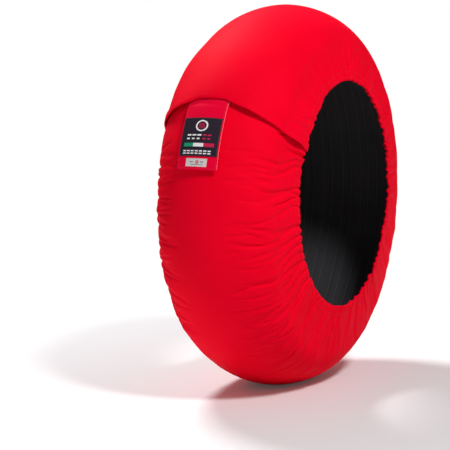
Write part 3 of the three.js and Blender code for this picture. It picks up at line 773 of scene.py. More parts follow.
# %% The creases' map
MAP_ROWS, MAP_COLUMNS = 1681, 165
MAP_SEED = 23
VALLEY_LIMIT = -0.0011
LOOSE_MIDDLE, LOOSE_REACH = -25.0, 75.0
CREASES_PER_SIDE = 96
CREASE_DEPTH, CREASE_PUFF = 0.0046, 0.0031
CREASE_STARTS, CREASE_WIDTHS = (0.098, 0.150), (0.50, 1.05)
CREASE_LEAN, CREASE_CURL = 26.0, 1.2
FINE_CREASES_PER_SIDE, FINE_DEPTH = 90, 0.0025
FINE_ANGLES, FINE_WIDTHS, FINE_LEAN = (-88, 21), (0.36, 0.66), 24.0
FINE_STARTS, FINE_LENGTHS = (0.030, 0.085), (0.040, 0.095)
GLAND_CLEAR, GLAND_DEGREE = 0.045, 0.0047


def long_crease(random, k, along, far):
    """One valley from the shoulder to the hem: its rows, and its depth there."""
    step = (LOWER_END - LAST_ANGLE) / CREASES_PER_SIDE
    middle = LOWER_END - step * (k + 0.5 + random.uniform(-0.38, 0.38))
    earlier = 0.046 * sagging(middle, LOOSE_MIDDLE, LOOSE_REACH)
    start = random.uniform(*CREASE_STARTS) - earlier * random.uniform(0.5, 1.2)
    lean, curl = random.normal(0, CREASE_LEAN), random.normal(0, CREASE_CURL)
    width = random.uniform(*CREASE_WIDTHS)
    depth = CREASE_DEPTH * random.uniform(0.45, 1.0)
    reach = far - start
    line = middle + lean * reach + curl * np.sin(reach * 60 + k)
    near = np.abs(along[:, 0] - middle) < 9
    deep = smooth(reach / 0.040) * (0.55 + 0.45 * smooth(reach / 0.09))
    narrowing = width * (1.5 - 0.6 * smooth(reach / 0.06))
    return near, (depth * deep * np.exp(-(((along - line) / narrowing) ** 2)))[near]


def fine_crease(random, along, far):
    """One short valley below the flap: its rows, and its depth there."""
    middle = random.uniform(*FINE_ANGLES)
    start, length = random.uniform(*FINE_STARTS), random.uniform(*FINE_LENGTHS)
    width, lean = random.uniform(*FINE_WIDTHS), random.normal(0, FINE_LEAN)
    line = middle + lean * (far - start)
    share = np.clip((far - start) / length, 0, 1)
    near = np.abs(along[:, 0] - middle) < 5
    deep = FINE_DEPTH * random.uniform(0.5, 1.0) * np.sin(np.pi * share) ** 0.8
    return near, (deep * np.exp(-(((along - line) / width) ** 2)))[near]


def crease_map():
    """Heights over the fitted cover, as a (rows, columns) array."""
    random = np.random.default_rng(MAP_SEED)
    along = np.linspace(LOWER_END, LAST_ANGLE, MAP_ROWS)[:, None]
    arc = np.linspace(HEM_ARC, -HEM_ARC, MAP_COLUMNS)[None, :]
    height = np.zeros((MAP_ROWS, MAP_COLUMNS))
    loose = sagging(along, LOOSE_MIDDLE, LOOSE_REACH)
    swelling = slow_noise(MAP_ROWS, MAP_COLUMNS, (64, 10), 5)
    for side in (1, -1):
        far = side * arc
        puffed = smooth((far - 0.100 + 0.060 * loose) / 0.055)
        height += CREASE_PUFF * puffed * (0.75 + 0.45 * swelling)
        for k in range(CREASES_PER_SIDE):
            near, valley = long_crease(random, k, along, far)
            height[near] -= valley
        for k in range(FINE_CREASES_PER_SIDE):
            near, valley = fine_crease(random, along, far)
            height[near] -= valley
    under_flap = smooth((along - 40.0) / 5.0)
    flap_end = smooth((LAST_ANGLE + 9.0 - along) / 9.0)
    from_gland = np.hypot((along - GLAND_ANGLE) * GLAND_DEGREE, arc - GLAND_ARC)
    kept = (1 - under_flap) * (1 - 0.8 * flap_end) * (1 - bump(from_gland, 0.0, GLAND_CLEAR))
    return np.maximum(height, VALLEY_LIMIT) * kept


CREASES = crease_map()
print(f"creases: {CREASES.min() * 1000:.1f} to {CREASES.max() * 1000:.1f} mm")

# %% [markdown]
# ## The fine cover
#
# Now the cover is laid out again on a finer grid: the fitted surface, the swellings from the
# simulation, the creases from the map, and the small tight gathers that the elastic draws
# into the last three centimetres. At both hems the cloth turns round the elastic and runs
# back inside, and at the flap's end it is folded under, so no raw edge shows.

# %% The displaced cover as a function
def creased(along, arc, height=0.0):
    """Points on the cover with all its creases, at a height over its outside."""
    along, arc, height = np.broadcast_arrays(
        np.asarray(along, float), np.asarray(arc, float), np.asarray(height, float)
    )
    row = (LOWER_END - along) / (LOWER_END - LAST_ANGLE) * (SIM_ROWS - 1)
    column = (HEM_ARC - arc) / (2 * HEM_ARC) * (SIM_COLUMNS - 1)
    sideways = resample(SIDEWAYS, row, column)
    puff = resample(PUFF[..., None], row, column)[..., 0]
    map_row = row * (MAP_ROWS - 1) / (SIM_ROWS - 1)
    map_column = column * (MAP_COLUMNS - 1) / (SIM_COLUMNS - 1)
    puff = puff + resample(CREASES[..., None], map_row, map_column)[..., 0]
    puff = np.maximum(puff, VALLEY_LIMIT)
    base = fitted(along, arc)
    out = fitted(along, arc, NORMAL_STEP) - base
    out /= np.linalg.norm(out, axis=-1, keepdims=True)
    lifted = puff + hem_gather(along, arc) + height
    points = base + sideways + out * lifted[..., None]
    points[..., 2] = np.maximum(points[..., 2], np.where(height < 0, 0.0002, 0.0))
    return points


GATHER_REACH, GATHER_HEIGHT = 0.030, 0.0011


def hem_gather(along, arc):
    """The tight gathers at the elastic: a ripple of uneven pitch that fades from the hem."""
    near_hem = np.clip(1 - (HEM_ARC - np.abs(arc)) / GATHER_REACH, 0, 1)
    side = np.where(arc > 0, 1.7, 0.0)
    turn = np.radians(along)
    phase = 168 * turn + 3.0 * np.sin(17 * turn + side) + 2.1 * np.sin(41 * turn + 2 * side)
    height = 0.55 + 0.45 * np.sin(29 * turn + side) * np.sin(11 * turn + 1 + side)
    return GATHER_HEIGHT * near_hem**1.5 * height * np.sin(phase)


COVER_ROWS, COVER_COLUMNS = 850, 99
FOLD_TURNS = (35, 75, 120, 165, 180)
FOLD_BACK = (0.005, 0.010, CASING)
FOLD_ROUND = 0.0021
EDGE_TURN = ((0.0006, 0.0003), (0.0009, 0.0010), (0.0006, 0.0017), (0.0, 0.0020))
EDGE_BACK = (0.006, 0.012)
EDGE_RUN = np.array([0.001, 0.002, 0.003, 0.004, 0.010, 0.016])


def hem_fold(points, inner):
    """Columns that turn round the elastic and run back inside, from the cover's last two."""
    edge, before = points[:, -1], points[:, -2]
    down = edge - before
    down /= np.linalg.norm(down, axis=1, keepdims=True)
    out = edge - inner
    out /= np.linalg.norm(out, axis=1, keepdims=True)
    middle = edge - out * FOLD_ROUND
    columns = []
    for turn in np.radians(FOLD_TURNS):
        columns.append(middle + FOLD_ROUND * (out * np.cos(turn) + down * np.sin(turn)))
    for back in FOLD_BACK:
        columns.append(middle - out * FOLD_ROUND - down * back)
    return columns


def cover_rows():
    """The rows' angles, closer together below the flap, where the finest creases are."""
    even = np.linspace(LOWER_END, LAST_ANGLE, 2000)
    density = 1 + 1.1 * bump(even, -30.0, 115.0)
    share = np.append(0, np.cumsum((density[1:] + density[:-1]) / 2))
    return np.interp(np.linspace(0, share[-1], COVER_ROWS), share, even)


def cover_points():
    along = cover_rows()[:, None]
    arc = np.linspace(HEM_ARC, -HEM_ARC, COVER_COLUMNS)[None, :]
    outside = creased(along, arc)
    left = hem_fold(outside[:, ::-1], creased(along, HEM_ARC, -NORMAL_STEP)[:, 0])
    right = hem_fold(outside, creased(along, -HEM_ARC, -NORMAL_STEP)[:, 0])
    points = np.concatenate([np.stack(left[::-1], 1), outside, np.stack(right, 1)], 1)
    return points, along


def fold_under(points):
    """Rows that turn the flap's end under: over the edge and back along the inside."""
    last, before = points[-1], points[-2]
    ahead = last - before
    ahead /= np.linalg.norm(ahead, axis=1, keepdims=True)
    sideways = np.gradient(last, axis=0)
    out = np.cross(ahead, sideways)
    out /= -np.linalg.norm(out, axis=1, keepdims=True)
    rows = [last + ahead * forward - out * down for forward, down in EDGE_TURN]
    rows += [last - ahead * back - out * FOLD_ROUND for back in EDGE_BACK]
    return np.concatenate([points, np.stack(rows)])


def make_cover():
    points, along = cover_points()
    points = fold_under(points)
    run = (LOWER_END - along[:, 0]) * math.radians(CROWN_RADIUS)
    run = np.append(run, run[-1] + EDGE_RUN)
    width = HEM_ARC + CASING + 0.004
    over = np.linspace(width, -width, points.shape[1])
    cover = cloth_grid("cover", points, run[:, None], over[None, :], RED)
    print("cover:", len(cover.data.polygons), "faces")
    return cover


cover = make_cover()
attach(cover, "root")
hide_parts("outer_cover")

# %% [markdown]
# ## The lining
#
# The cloth that faces the tire is dark and heat-resistant. In the padded band it lies under
# the felt, with the heating cable quilted to it in six runs, so it shows six low ridges with
# a row of stitches on each side. In the skirts it lies right behind the red cloth, and its
# edge is caught in the hem's fold.

# %% The lining
LINING_ROWS, LINING_COLUMNS = 500, 187
RUN_ARCS = (0.100, 0.060, 0.020, -0.020, -0.060, -0.100)
LINING_END = LOWER_END - 360.6
LINING_EDGE = HEM_ARC - CASING - 0.0006
SKIRT_DEPTH = 0.0030
RIDGE_REACH, RIDGE_RISE = 0.0055, 0.0010
CHANNEL_REACH, CHANNEL_DIP = 0.021, 0.0008


def lining_points(along, arc, height=0.0):
    """Points on the side of the lining that faces the tire."""
    along, arc, height = np.broadcast_arrays(
        np.asarray(along, float), np.asarray(arc, float), np.asarray(height, float)
    )
    ridges = sum(bump(arc, run, RIDGE_REACH) for run in RUN_ARCS)
    beside = np.clip(sum(bump(arc, run, CHANNEL_REACH) for run in RUN_ARCS), 0, 1)
    depth = LINING_DEPTH + CLOTH + RIDGE_RISE * ridges - CHANNEL_DIP * (1 - beside)
    padded = on_ring(along, arc, -depth - height)
    skirt = creased(along, arc, -SKIRT_DEPTH - height)
    share = smooth((np.abs(arc) - SHOULDER_ARC + 0.010) / 0.026)[..., None]
    return padded * (1 - share) + skirt * share


def make_lining():
    along = np.linspace(LOWER_END, LINING_END, LINING_ROWS)[:, None]
    arc = np.linspace(LINING_EDGE, -LINING_EDGE, LINING_COLUMNS)[None, :]
    points = lining_points(along, arc)
    run = (LOWER_END - along) * math.radians(CROWN_RADIUS)
    return cloth_grid("lining", points[:, ::-1], run, -arc, LINING)


lining = make_lining()
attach(lining, "root")
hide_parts("inner_lining")
print("lining:", len(lining.data.polygons), "faces")


# %% [markdown]
# ## Elastic in the hems
#
# A flat elastic runs inside each fold. It is what pulls the skirts in over the tire's side
# walls. It follows the same gathers as the cloth around it. Elastics, tapes, the tab and its
# badge are all closed flat pieces with rounded edges, so one helper makes them.

# %% Slabs: closed flat pieces with rounded edges
def spaced(first, last, count, edge):
    """Places from first to last, closer together where the rounded edges are."""
    inner = np.linspace(edge, 1 - edge, count)
    near = edge * np.array([0.0, 0.12, 0.4])
    return first + (last - first) * np.concatenate([near, inner, 1 - near[::-1]])


def rounded(places, thickness):
    """How much of its thickness a slab has at each place, from both ends."""
    from_end = np.minimum(np.abs(places - places[0]), np.abs(places - places[-1]))
    inside = np.clip(1 - from_end / (0.6 * thickness), 0, 1)
    return np.sqrt(1 - inside**2)


def slab(name, surface, along, over, thickness, material, corner=0.0):
    """A closed piece between two heights over a surface. Along and over are in metres."""
    grid_along, grid_over = np.meshgrid(along, over, indexing="ij")
    if corner:
        near_end = np.clip(1 - np.abs(along[-1] - along) / corner, 0, 1)
        middle, half = (over[0] + over[-1]) / 2, abs(over[-1] - over[0]) / 2
        narrower = (half - corner * (1 - np.sqrt(1 - near_end**2))) / half
        grid_over = middle + (grid_over - middle) * narrower[:, None]
    share = rounded(along, thickness)[:, None] * rounded(over, thickness)[None, :]
    middle_height = 0.5 * thickness
    top = surface(grid_along, grid_over, middle_height + middle_height * share)
    bottom = surface(grid_along, grid_over, middle_height - middle_height * share)
    rows, columns = grid_along.shape
    points = np.concatenate([top.reshape(-1, 3), bottom.reshape(-1, 3)])
    lower = np.arange(rows * columns).reshape(rows, columns) + rows * columns
    upper = lower - rows * columns
    lower[[0, -1], :] = upper[[0, -1], :]
    lower[:, [0, -1]] = upper[:, [0, -1]]
    faces = grid_faces(rows, columns)
    below = lower.ravel()[faces]
    faces = np.concatenate([faces[:, ::-1], below])
    uv = np.stack([grid_along, grid_over], -1).reshape(-1, 2)
    mesh = mesh_from(points, faces, np.concatenate([uv, uv]), name)
    return piece_from(drop_loose(mesh), material)


def drop_loose(mesh):
    """Removes the points that no face uses."""
    work = bmesh.new()
    work.from_mesh(mesh)
    bmesh.ops.delete(work, geom=[v for v in work.verts if not v.link_faces], context="VERTS")
    work.to_mesh(mesh)
    work.free()
    return mesh


def soft_piece(piece, node):
    """Attaches a piece of cloth to the root body, and hides the solid that it stands for."""
    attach(piece, "root")
    if node:
        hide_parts(node)


print("slabs are ready")


# %% The two elastics
ELASTIC_THICKNESS = 0.0014
ELASTIC_END = 40.0 - 360.0
ELASTIC_OVER = np.array([0.0012, 0.0014, 0.005, 0.0088, 0.009])


def hem_elastic(name, side):
    along = np.linspace(LOWER_END - 1, ELASTIC_END, 640)
    over = ELASTIC_OVER[::-side]

    def surface(run, down, height):
        return creased(run, side * (HEM_ARC - down), height - 0.0014 - ELASTIC_THICKNESS)

    return slab(name, surface, along, over, ELASTIC_THICKNESS, ELASTIC)


left_elastic = hem_elastic("left_elastic", 1)
right_elastic = hem_elastic("right_elastic", -1)
for piece, node in ((left_elastic, "left_hem_elastic"), (right_elastic, "right_hem_elastic")):
    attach(piece, "root")
    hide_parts(node)
print("elastics:", len(left_elastic.data.polygons), "faces each")

# %% [markdown]
# ## The closure
#
# The lower end carries loop tape on its outside, and the flap carries hook tape on its
# inside. The pull tab is sewn in under the flap's edge, two layers of the red cloth turned
# and edge-stitched, and it has tapes of its own. Each is laid on the ring at its height over
# the lower end.

# %% Tapes and tab
TAB_LEFT, TAB_RIGHT = TAB_OFFSET + TAB_WIDTH / 2, TAB_OFFSET - TAB_WIDTH / 2
TAB_THICKNESS = 0.0022
LOOP_HEIGHT, LOOP_THICKNESS = 0.0003, 0.0010
HOOK_HEIGHT, HOOK_THICKNESS = 0.0016, 0.0016
TAB_HEIGHT, TAB_ROOT_HEIGHT = 0.0035, 0.0010
TAB_FREE_FROM, TAB_FREE_LENGTH = 0.112, 0.012
OVERLAP_TAPE = (45, 38.5, 0.078, -0.078)


def angle_at(distance):
    """The angle that lies this far down from the flap's edge at the crown."""
    return FLAP_EDGE - np.degrees(distance / CROWN_RADIUS)


def distance_at(angle):
    return math.radians(FLAP_EDGE - angle) * CROWN_RADIUS


def laid(base_height):
    """A surface for flat pieces that lie on the ring at a height."""

    def surface(distance, arc, height):
        return on_ring(angle_at(distance), arc, base_height + height)

    return surface


def on_tab(distance, arc, height):
    """The tab comes out from under the flap, steps up on to its tapes and lifts at its end."""
    step = smooth((distance - 0.004) / 0.013)
    free_end = np.clip((distance - TAB_FREE_FROM) / TAB_FREE_LENGTH, 0, 1) ** 2
    across_tab = (arc - TAB_OFFSET) / (TAB_WIDTH / 2)
    base = TAB_ROOT_HEIGHT + (TAB_HEIGHT - TAB_ROOT_HEIGHT) * step
    lifted = 0.0016 * free_end + 0.0005 * step * across_tab**2
    return on_ring(angle_at(distance), arc, base + lifted + height)


def tape(name, node, place, level, material):
    top, bottom, left, right = place
    height, thickness = level
    along = spaced(distance_at(top), distance_at(bottom), 24, 0.02)
    over = spaced(left, right, 24, 0.02)
    piece = slab(name, laid(height), along, over, thickness, material)
    soft_piece(piece, node)


TAB_TAPE = (
    FLAP_EDGE - 2.95,
    TAB_END + math.degrees(TAPE_INSET / CROWN_RADIUS),
    TAB_LEFT - TAPE_INSET,
    TAB_RIGHT + TAPE_INSET,
)
LOOP_LEVEL, HOOK_LEVEL = (LOOP_HEIGHT, LOOP_THICKNESS), (HOOK_HEIGHT, HOOK_THICKNESS)
tape("overlap_loops", "overlap_loop_tape", OVERLAP_TAPE, LOOP_LEVEL, LOOP)
tape("overlap_hooks", "overlap_hook_tape", OVERLAP_TAPE, HOOK_LEVEL, HOOK)
tape("tab_loops", "tab_loop_patch", TAB_TAPE, LOOP_LEVEL, LOOP)
tape("tab_hooks", "tab_hook_patch", TAB_TAPE, HOOK_LEVEL, HOOK)

tab_along = spaced(distance_at(TAB_ROOT), distance_at(TAB_END), 110, 0.012)
tab_over = spaced(TAB_LEFT, TAB_RIGHT, 60, 0.02)
tab = slab("tab", on_tab, tab_along, tab_over, TAB_THICKNESS, TAB_RED, corner=0.003)
print("tab:", len(tab.data.polygons), "faces")

# %% [markdown]
# ## Badge and size label
#
# The badge is a woven plate: a dark ground with marks in white, red and green. Woven marks
# have stepped edges, one thread wide, so each mark is a mask on a half-millimetre grid that
# is raised a little over the ground. They are plain shapes: a ring with three heat waves,
# rows of dashes and a bar in three colours.

# %% Woven marks
BADGE_TOP, BADGE_END = 27.0, 16.0
BADGE_WIDTH, BADGE_THICKNESS = 0.067, 0.0007
LABEL_TOP, LABEL_END = 15.4, 13.1
LABEL_WIDTH, LABEL_THICKNESS = 0.037, 0.0005
THREAD_PITCH = 0.0005

BADGE_GROUND = cloth(
    "badge_ground", (0.030, 0.022, 0.034), (0.020, 0.015, 0.024), 1500, 0.7, 0.0001
)
MARK_WHITE = cloth("white_marks", (0.90, 0.88, 0.89), (0.78, 0.76, 0.78), 1500, 0.6, 0.0001)
MARK_RED = cloth("red_marks", (0.60, 0.02, 0.08), (0.50, 0.015, 0.06), 1500, 0.6, 0.0001)
MARK_GREEN = cloth("green_marks", (0.02, 0.34, 0.17), (0.015, 0.27, 0.13), 1500, 0.6, 0.0001)
LABEL_CLOTH = cloth("label_cloth", (0.72, 0.68, 0.66), (0.60, 0.56, 0.55), 1500, 0.7, 0.0001)
MARK_GREY = cloth("grey_marks", (0.22, 0.20, 0.20), (0.16, 0.15, 0.15), 1500, 0.7, 0.0001)


def mask_grid(width, height):
    """Centres of the woven cells, in metres: across from the middle, down from the top."""
    across_count, down_count = round(width / THREAD_PITCH), round(height / THREAD_PITCH)
    u = (np.arange(across_count) + 0.5) * THREAD_PITCH - width / 2
    v = (np.arange(down_count) + 0.5) * THREAD_PITCH
    return np.meshgrid(u, v)


def box_mask(u, v, left, right, top, bottom, slant=0.0):
    """A bar in millimetres, leaning by a slant."""
    lean = u * 1000 + slant * (v * 1000 - (top + bottom) / 2)
    return (lean > left) & (lean < right) & (v * 1000 > top) & (v * 1000 < bottom)


def woven(name, mask, top_angle, width, base, raised, material):
    """A raised mesh over the cells of a mask, on the tab."""
    rows, columns = mask.shape
    v = distance_at(top_angle) + np.arange(rows + 1) * THREAD_PITCH
    u = TAB_OFFSET + width / 2 - np.arange(columns + 1) * THREAD_PITCH
    grid_v, grid_u = np.meshgrid(v, u, indexing="ij")
    top = on_tab(grid_v, grid_u, base + raised).reshape(-1, 3)
    foot = on_tab(grid_v, grid_u, base - 0.0001).reshape(-1, 3)
    index = np.arange((rows + 1) * (columns + 1)).reshape(rows + 1, columns + 1)
    corner = (index[:-1, :-1], index[:-1, 1:], index[1:, 1:], index[1:, :-1])
    cells = np.stack([c[mask] for c in corner], -1)
    offset = len(top)
    faces = [cells[:, ::-1], cells + offset]
    padded_mask = np.pad(mask, 1)
    beside = {
        (0, 1): padded_mask[:-2, 1:-1], (1, 2): padded_mask[1:-1, 2:],
        (2, 3): padded_mask[2:, 1:-1], (3, 0): padded_mask[1:-1, :-2],
    }
    for (start, end), neighbour in beside.items():
        open_side = mask & ~neighbour
        a, b = corner[start][open_side], corner[end][open_side]
        faces.append(np.stack([a, b, b + offset, a + offset], -1))
    uv = np.stack([grid_v, grid_u], -1).reshape(-1, 2)
    points = np.concatenate([top, foot])
    mesh = mesh_from(points, np.concatenate(faces), np.concatenate([uv, uv]), name)
    mesh.polygons.foreach_set("use_smooth", np.zeros(len(mesh.polygons), bool))
    piece = piece_from(drop_loose(mesh), material)
    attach(piece, "root")
    return piece


BADGE_HEIGHT = math.radians(BADGE_TOP - BADGE_END) * CROWN_RADIUS
LABEL_HEIGHT = math.radians(LABEL_TOP - LABEL_END) * CROWN_RADIUS
print("badge:", round(BADGE_WIDTH, 4), "by", round(BADGE_HEIGHT, 4))


# %% The badge's marks, in millimetres from its middle and its top
RING_X, RING_Y, RING_INNER, RING_OUTER = 1, 14, 8.2, 10.6
WAVES, WAVE_HALF_HEIGHT, WAVE_SWING = (-3.6, 0.0, 3.6), 4.6, 0.9
SLANT = 0.2
FIRST_LINE, SECOND_LINE = (28.5, 31.0), (34.5, 37.0)
WHITE_DASHES, RED_DASHES = ((-22, -15), (-13, -6), (-4, 3)), ((6, 12), (14, 20))
COLOR_BAR = (43, 49)
SMALL_LINES = ((55, 57.2), (59, 61.2))
SMALL_FROM, SMALL_STEP, SMALL_DASH = -26, 7.3, 5.2


def badge_masks():
    u, v = mask_grid(BADGE_WIDTH, BADGE_HEIGHT)
    x, y = u * 1000 - RING_X, v * 1000 - RING_Y
    ring = np.hypot(x, y * 1.12)
    white = (ring > RING_INNER) & (ring < RING_OUTER)
    red = np.zeros(u.shape, bool)
    for middle in WAVES:
        wave = x - middle - WAVE_SWING * np.sin(y * 1.1)
        red |= (np.abs(wave) < 0.9) & (np.abs(y) < WAVE_HALF_HEIGHT)
    for left, right in WHITE_DASHES:
        white |= box_mask(u, v, left, right, *FIRST_LINE, SLANT)
        white |= box_mask(u, v, left, right - 2, *SECOND_LINE, SLANT)
    for left, right in RED_DASHES:
        red |= box_mask(u, v, left, right, *FIRST_LINE, SLANT)
        red |= box_mask(u, v, left, right - 1, *SECOND_LINE, SLANT)
    green = box_mask(u, v, -26, -9, *COLOR_BAR)
    white |= box_mask(u, v, -9, 9, *COLOR_BAR)
    red |= box_mask(u, v, 9, 27, *COLOR_BAR)
    for k in range(7):
        left = SMALL_FROM + SMALL_STEP * k
        for line in SMALL_LINES:
            white |= box_mask(u, v, left, left + SMALL_DASH, *line, SLANT)
    return {"white": white, "red": red, "green": green}


def label_masks():
    u, v = mask_grid(LABEL_WIDTH, LABEL_HEIGHT)
    spot = np.hypot(u * 1000 - 2, v * 1000 - 6)
    grey = box_mask(u, v, -11, -5, 5, 6.5) | box_mask(u, v, 7, 13, 5, 6.5)
    grey |= box_mask(u, v, -9, 12, 9.5, 10.5)
    return {"grey": grey, "red": (spot > 1.2) & (spot < 2.6)}


TAB_TOP = TAB_THICKNESS + 0.0001


def plate(name, top_angle, width, height, thickness, material):
    along = spaced(distance_at(top_angle), distance_at(top_angle) + height, 40, 0.01)
    over = spaced(TAB_OFFSET + width / 2, TAB_OFFSET - width / 2, 40, 0.01)

    def surface(distance, arc, level):
        return on_tab(distance, arc, TAB_TOP + level)

    return slab(name, surface, along, over, thickness, material)


badge = plate("badge_plate", BADGE_TOP, BADGE_WIDTH, BADGE_HEIGHT, BADGE_THICKNESS, BADGE_GROUND)
label = plate("label_plate", LABEL_TOP, LABEL_WIDTH, LABEL_HEIGHT, LABEL_THICKNESS, LABEL_CLOTH)
MARK_MATERIALS = {"white": MARK_WHITE, "red": MARK_RED, "green": MARK_GREEN, "grey": MARK_GREY}
for kind, masks, top_angle, width, base, raised in (
    ("badge", badge_masks(), BADGE_TOP, BADGE_WIDTH, TAB_TOP + BADGE_THICKNESS, 0.00015),
    ("label", label_masks(), LABEL_TOP, LABEL_WIDTH, TAB_TOP + LABEL_THICKNESS, 0.0001),
):
    for color, mask in masks.items():
        name = f"{kind}_{color}"
        mark = woven(name, mask, top_angle, width, base, raised, MARK_MATERIALS[color])
soft_piece(badge, "badge")
soft_piece(label, "size_label")
soft_piece(tab, "pull_tab")

# %% [markdown]
# ## The gland's patch
#
# Where the mains lead enters, on the left shoulder, a square of the same cloth is sewn on,
# so that the gland's flange doesn't tear the cover.

# %% The patch under the gland
PATCH_REACH, PATCH_THICKNESS = 0.020, 0.0009


def on_shoulder(distance, arc, height):
    angle = GLAND_ANGLE - np.degrees(distance / SHOULDER_RADIUS)
    return on_ring(angle, arc, 0.00015 + height)


patch_along = spaced(-PATCH_REACH, PATCH_REACH, 30, 0.02)
patch_over = spaced(GLAND_ARC + PATCH_REACH, GLAND_ARC - PATCH_REACH, 30, 0.02)
patch = slab("patch", on_shoulder, patch_along, patch_over, PATCH_THICKNESS, RED)
soft_piece(patch, "gland_patch")
print("patch:", len(patch.data.polygons), "faces")

# %% [markdown]
# ## Stitches
#
# All seams are lockstitch: short rounded stitches in a row at an even pitch. Geometry Nodes
# puts one small stitch on every point of a seam and turns it with two directions that are
# stored on the points. The seams are laid out along the finished cloth, so they follow its
# gathers.

# %% The stitch modifier
def stitch_group():
    """Puts a bead on every point, turned by the two directions stored there."""
    tree, start, end = new_group(
        "stitches",
        [("Geometry", GEOMETRY, None), ("Length", FLOAT, None), ("Thickness", FLOAT, None),
         ("Material", "NodeSocketMaterial", None)],
        [("Geometry", GEOMETRY)],
        "GeometryNodeTree",
    )
    given = start.outputs
    bead = add_node(
        tree, "GeometryNodeMeshUVSphere", {"Segments": 6, "Rings": 4, "Radius": 0.5}
    ).outputs["Mesh"]
    size = add_node(
        tree, "ShaderNodeCombineXYZ",
        {"X": given["Length"], "Y": given["Thickness"], "Z": given["Thickness"]},
    ).outputs["Vector"]
    stitch = add_node(tree, "GeometryNodeTransform", {"Geometry": bead, "Scale": size})
    stitch = add_node(tree, "GeometryNodeSetShadeSmooth", {"Geometry": stitch.outputs["Geometry"]})
    axes = {"primary_axis": "X", "secondary_axis": "Z"}
    turn = add_node(tree, "FunctionNodeAxesToRotation", **axes)
    for k, label in enumerate(("along", "out")):
        stored = add_node(tree, "GeometryNodeInputNamedAttribute", data_type="FLOAT_VECTOR")
        stored.inputs["Name"].default_value = label
        link(tree, stored.outputs["Attribute"], turn.inputs[k])
    placed = add_node(
        tree, "GeometryNodeInstanceOnPoints",
        {"Points": given["Geometry"], "Instance": stitch.outputs["Geometry"],
         "Rotation": turn.outputs["Rotation"]},
    ).outputs["Instances"]
    real = add_node(tree, "GeometryNodeRealizeInstances", {"Geometry": placed})
    finish = add_node(
        tree, "GeometryNodeSetMaterial",
        {"Geometry": real.outputs["Geometry"], "Material": given["Material"]},
    )
    link(tree, finish.outputs["Geometry"], end.inputs["Geometry"])
    return tree


STITCHES = stitch_group()
print("stitch group:", len(STITCHES.nodes), "nodes")


# %% Seams
def seam(surface, along, over, pitch, height=0.0002):
    """Stitch places, directions and normals at an even pitch along a line on a surface."""
    along, over = np.broadcast_arrays(np.asarray(along, float), np.asarray(over, float))
    line = surface(along, over, height)
    out = surface(along, over, height + NORMAL_STEP) - line
    run = np.append(0, np.cumsum(np.linalg.norm(np.diff(line, axis=0), axis=1)))
    at = np.arange(pitch / 2, run[-1] - pitch / 3, pitch)
    places = np.stack([np.interp(at, run, line[:, k]) for k in range(3)], 1)
    ahead = np.stack([np.interp(at + 0.0008, run, line[:, k]) for k in range(3)], 1)
    normals = np.stack([np.interp(at, run, out[:, k]) for k in range(3)], 1)
    return places, ahead - places, normals


def sew(name, seams, length, thickness, thread, slot):
    """One piece with all the stitches of some seams."""
    places, ahead, normals = (np.concatenate(rows) for rows in zip(*seams))
    mesh = bpy.data.meshes.new(name)
    mesh.vertices.add(len(places))
    mesh.vertices.foreach_set("co", places.astype(np.float32).ravel())
    for label, rows in (("along", ahead), ("out", normals)):
        size = np.linalg.norm(rows, axis=1, keepdims=True)
        stored = mesh.attributes.new(label, "FLOAT_VECTOR", "POINT")
        stored.data.foreach_set("vector", (rows / size).astype(np.float32).ravel())
    piece = bpy.data.objects.new(name, mesh)
    scene.collection.objects.link(piece)
    modifier = piece.modifiers.new("stitches", "NODES")
    modifier.node_group = STITCHES
    named = {item.name: item.identifier for item in STITCHES.interface.items_tree
             if item.in_out == "INPUT"}
    modifier[named["Length"]] = length
    modifier[named["Thickness"]] = thickness
    modifier[named["Material"]] = thread
    shaped = piece.evaluated_get(bpy.context.evaluated_depsgraph_get())
    piece.data = bpy.data.meshes.new_from_object(shaped)
    piece.modifiers.clear()
    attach(piece, "root")
    print(name, len(places), "stitches,", len(piece.data.polygons), "faces")
    return piece


def outline(surface, top, bottom, left, right, pitch, height):
    """Four seams round a rectangle."""
    down = np.linspace(top, bottom, 80)
    side = np.linspace(left, right, 80)
    return [
        seam(surface, down, left, pitch, height),
        seam(surface, down, right, pitch, height),
        seam(surface, top, side, pitch, height),
        seam(surface, bottom, side, pitch, height),
    ]


def edge_stitches(name, surface, top, bottom, middle, width, inset, pitch, height, look):
    """Stitches a plate down all round, a little in from its edges."""
    left, right = middle + width / 2 - inset, middle - width / 2 + inset
    seams = outline(surface, top + inset, bottom - inset, left, right, pitch, height)
    sew(name, seams, *look)


HEM_INSETS, HEM_PITCH = (0.0030, 0.0130), 0.0040
FLAP_INSETS, FLAP_PITCH = (0.0025, 0.0095), 0.0036
ROUND = np.linspace(LOWER_END - 0.4, LAST_ANGLE + 0.4, 3000)
hem_seams = []
for side in (1, -1):
    for inset in HEM_INSETS:
        hem_seams.append(seam(creased, ROUND, side * (HEM_ARC - inset), HEM_PITCH))
for inset in FLAP_INSETS:
    line = LAST_ANGLE + math.degrees(inset / CROWN_RADIUS)
    hem_seams.append(seam(creased, line, np.linspace(0.2, -0.2, 400), FLAP_PITCH))
sew("cover_stitches", hem_seams, 0.0030, 0.0006, THREAD, "cover_cloth")

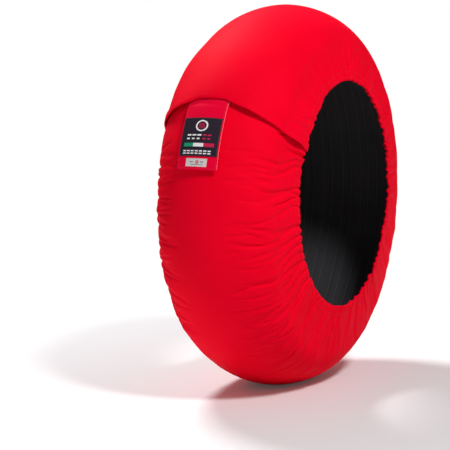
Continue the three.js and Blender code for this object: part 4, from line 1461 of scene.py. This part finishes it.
TAB_INSET, TAB_SEAM_TOP, TAB_PITCH, EDGE_HIGHLIGHT_PITCH = 0.0028, 0.006, 0.0034, 0.0022
tab_bottom = float(tab_along[-1])
tab_seams = outline(
    on_tab, TAB_SEAM_TOP, tab_bottom - TAB_INSET, TAB_LEFT - TAB_INSET, TAB_RIGHT + TAB_INSET,
    TAB_PITCH, TAB_THICKNESS,
)
sew("tab_stitches", tab_seams, 0.0026, 0.0006, THREAD, "tab_cloth")
# A painted highlight: pale pink beads along the tab's right edge and its end stand for the folded
# edge catching the light.
tab_end = tab_bottom - 0.0006
down_side = np.linspace(0.003, tab_end, 80)
over_end = np.linspace(TAB_LEFT - 0.003, TAB_RIGHT + 0.003, 80)
edge = [
    seam(on_tab, down_side, TAB_RIGHT + 0.0005, EDGE_HIGHLIGHT_PITCH, TAB_THICKNESS * 0.75),
    seam(on_tab, tab_end, over_end, EDGE_HIGHLIGHT_PITCH, TAB_THICKNESS * 0.7),
]
sew("tab_edge_highlight", edge, 0.0030, 0.0008, PALE_THREAD_AND_EDGE_HIGHLIGHT, "tab_cloth")

badge_top, label_top = distance_at(BADGE_TOP), distance_at(LABEL_TOP)
edge_stitches(
    "badge_stitches", on_tab, badge_top, badge_top + BADGE_HEIGHT, TAB_OFFSET, BADGE_WIDTH,
    0.0012, 0.0028, TAB_TOP + BADGE_THICKNESS, (0.0021, 0.0004, DARK_THREAD, "badge_weave"),
)
edge_stitches(
    "label_stitches", on_tab, label_top, label_top + LABEL_HEIGHT, TAB_OFFSET, LABEL_WIDTH,
    0.0010, 0.0026, TAB_TOP + LABEL_THICKNESS, (0.0019, 0.0004, PALE_THREAD_AND_EDGE_HIGHLIGHT, "label_weave"),
)
edge_stitches(
    "patch_stitches", on_shoulder, -PATCH_REACH, PATCH_REACH, GLAND_ARC, 2 * PATCH_REACH,
    0.0025, 0.0034, PATCH_THICKNESS, (0.0026, 0.0006, THREAD, "cover_cloth"),
)

CHANNEL_OFFSET, CHANNEL_PITCH = 0.0085, 0.0056
INSIDE = np.linspace(LOWER_END - 3, LINING_END + 3, 1600)
channel_seams = []
for run in RUN_ARCS:
    for beside in (CHANNEL_OFFSET, -CHANNEL_OFFSET):
        channel_seams.append(seam(lining_points, INSIDE, run + beside, CHANNEL_PITCH))
sew("lining_stitches", channel_seams, 0.0042, 0.0006, DARK_THREAD, "lining_cloth")
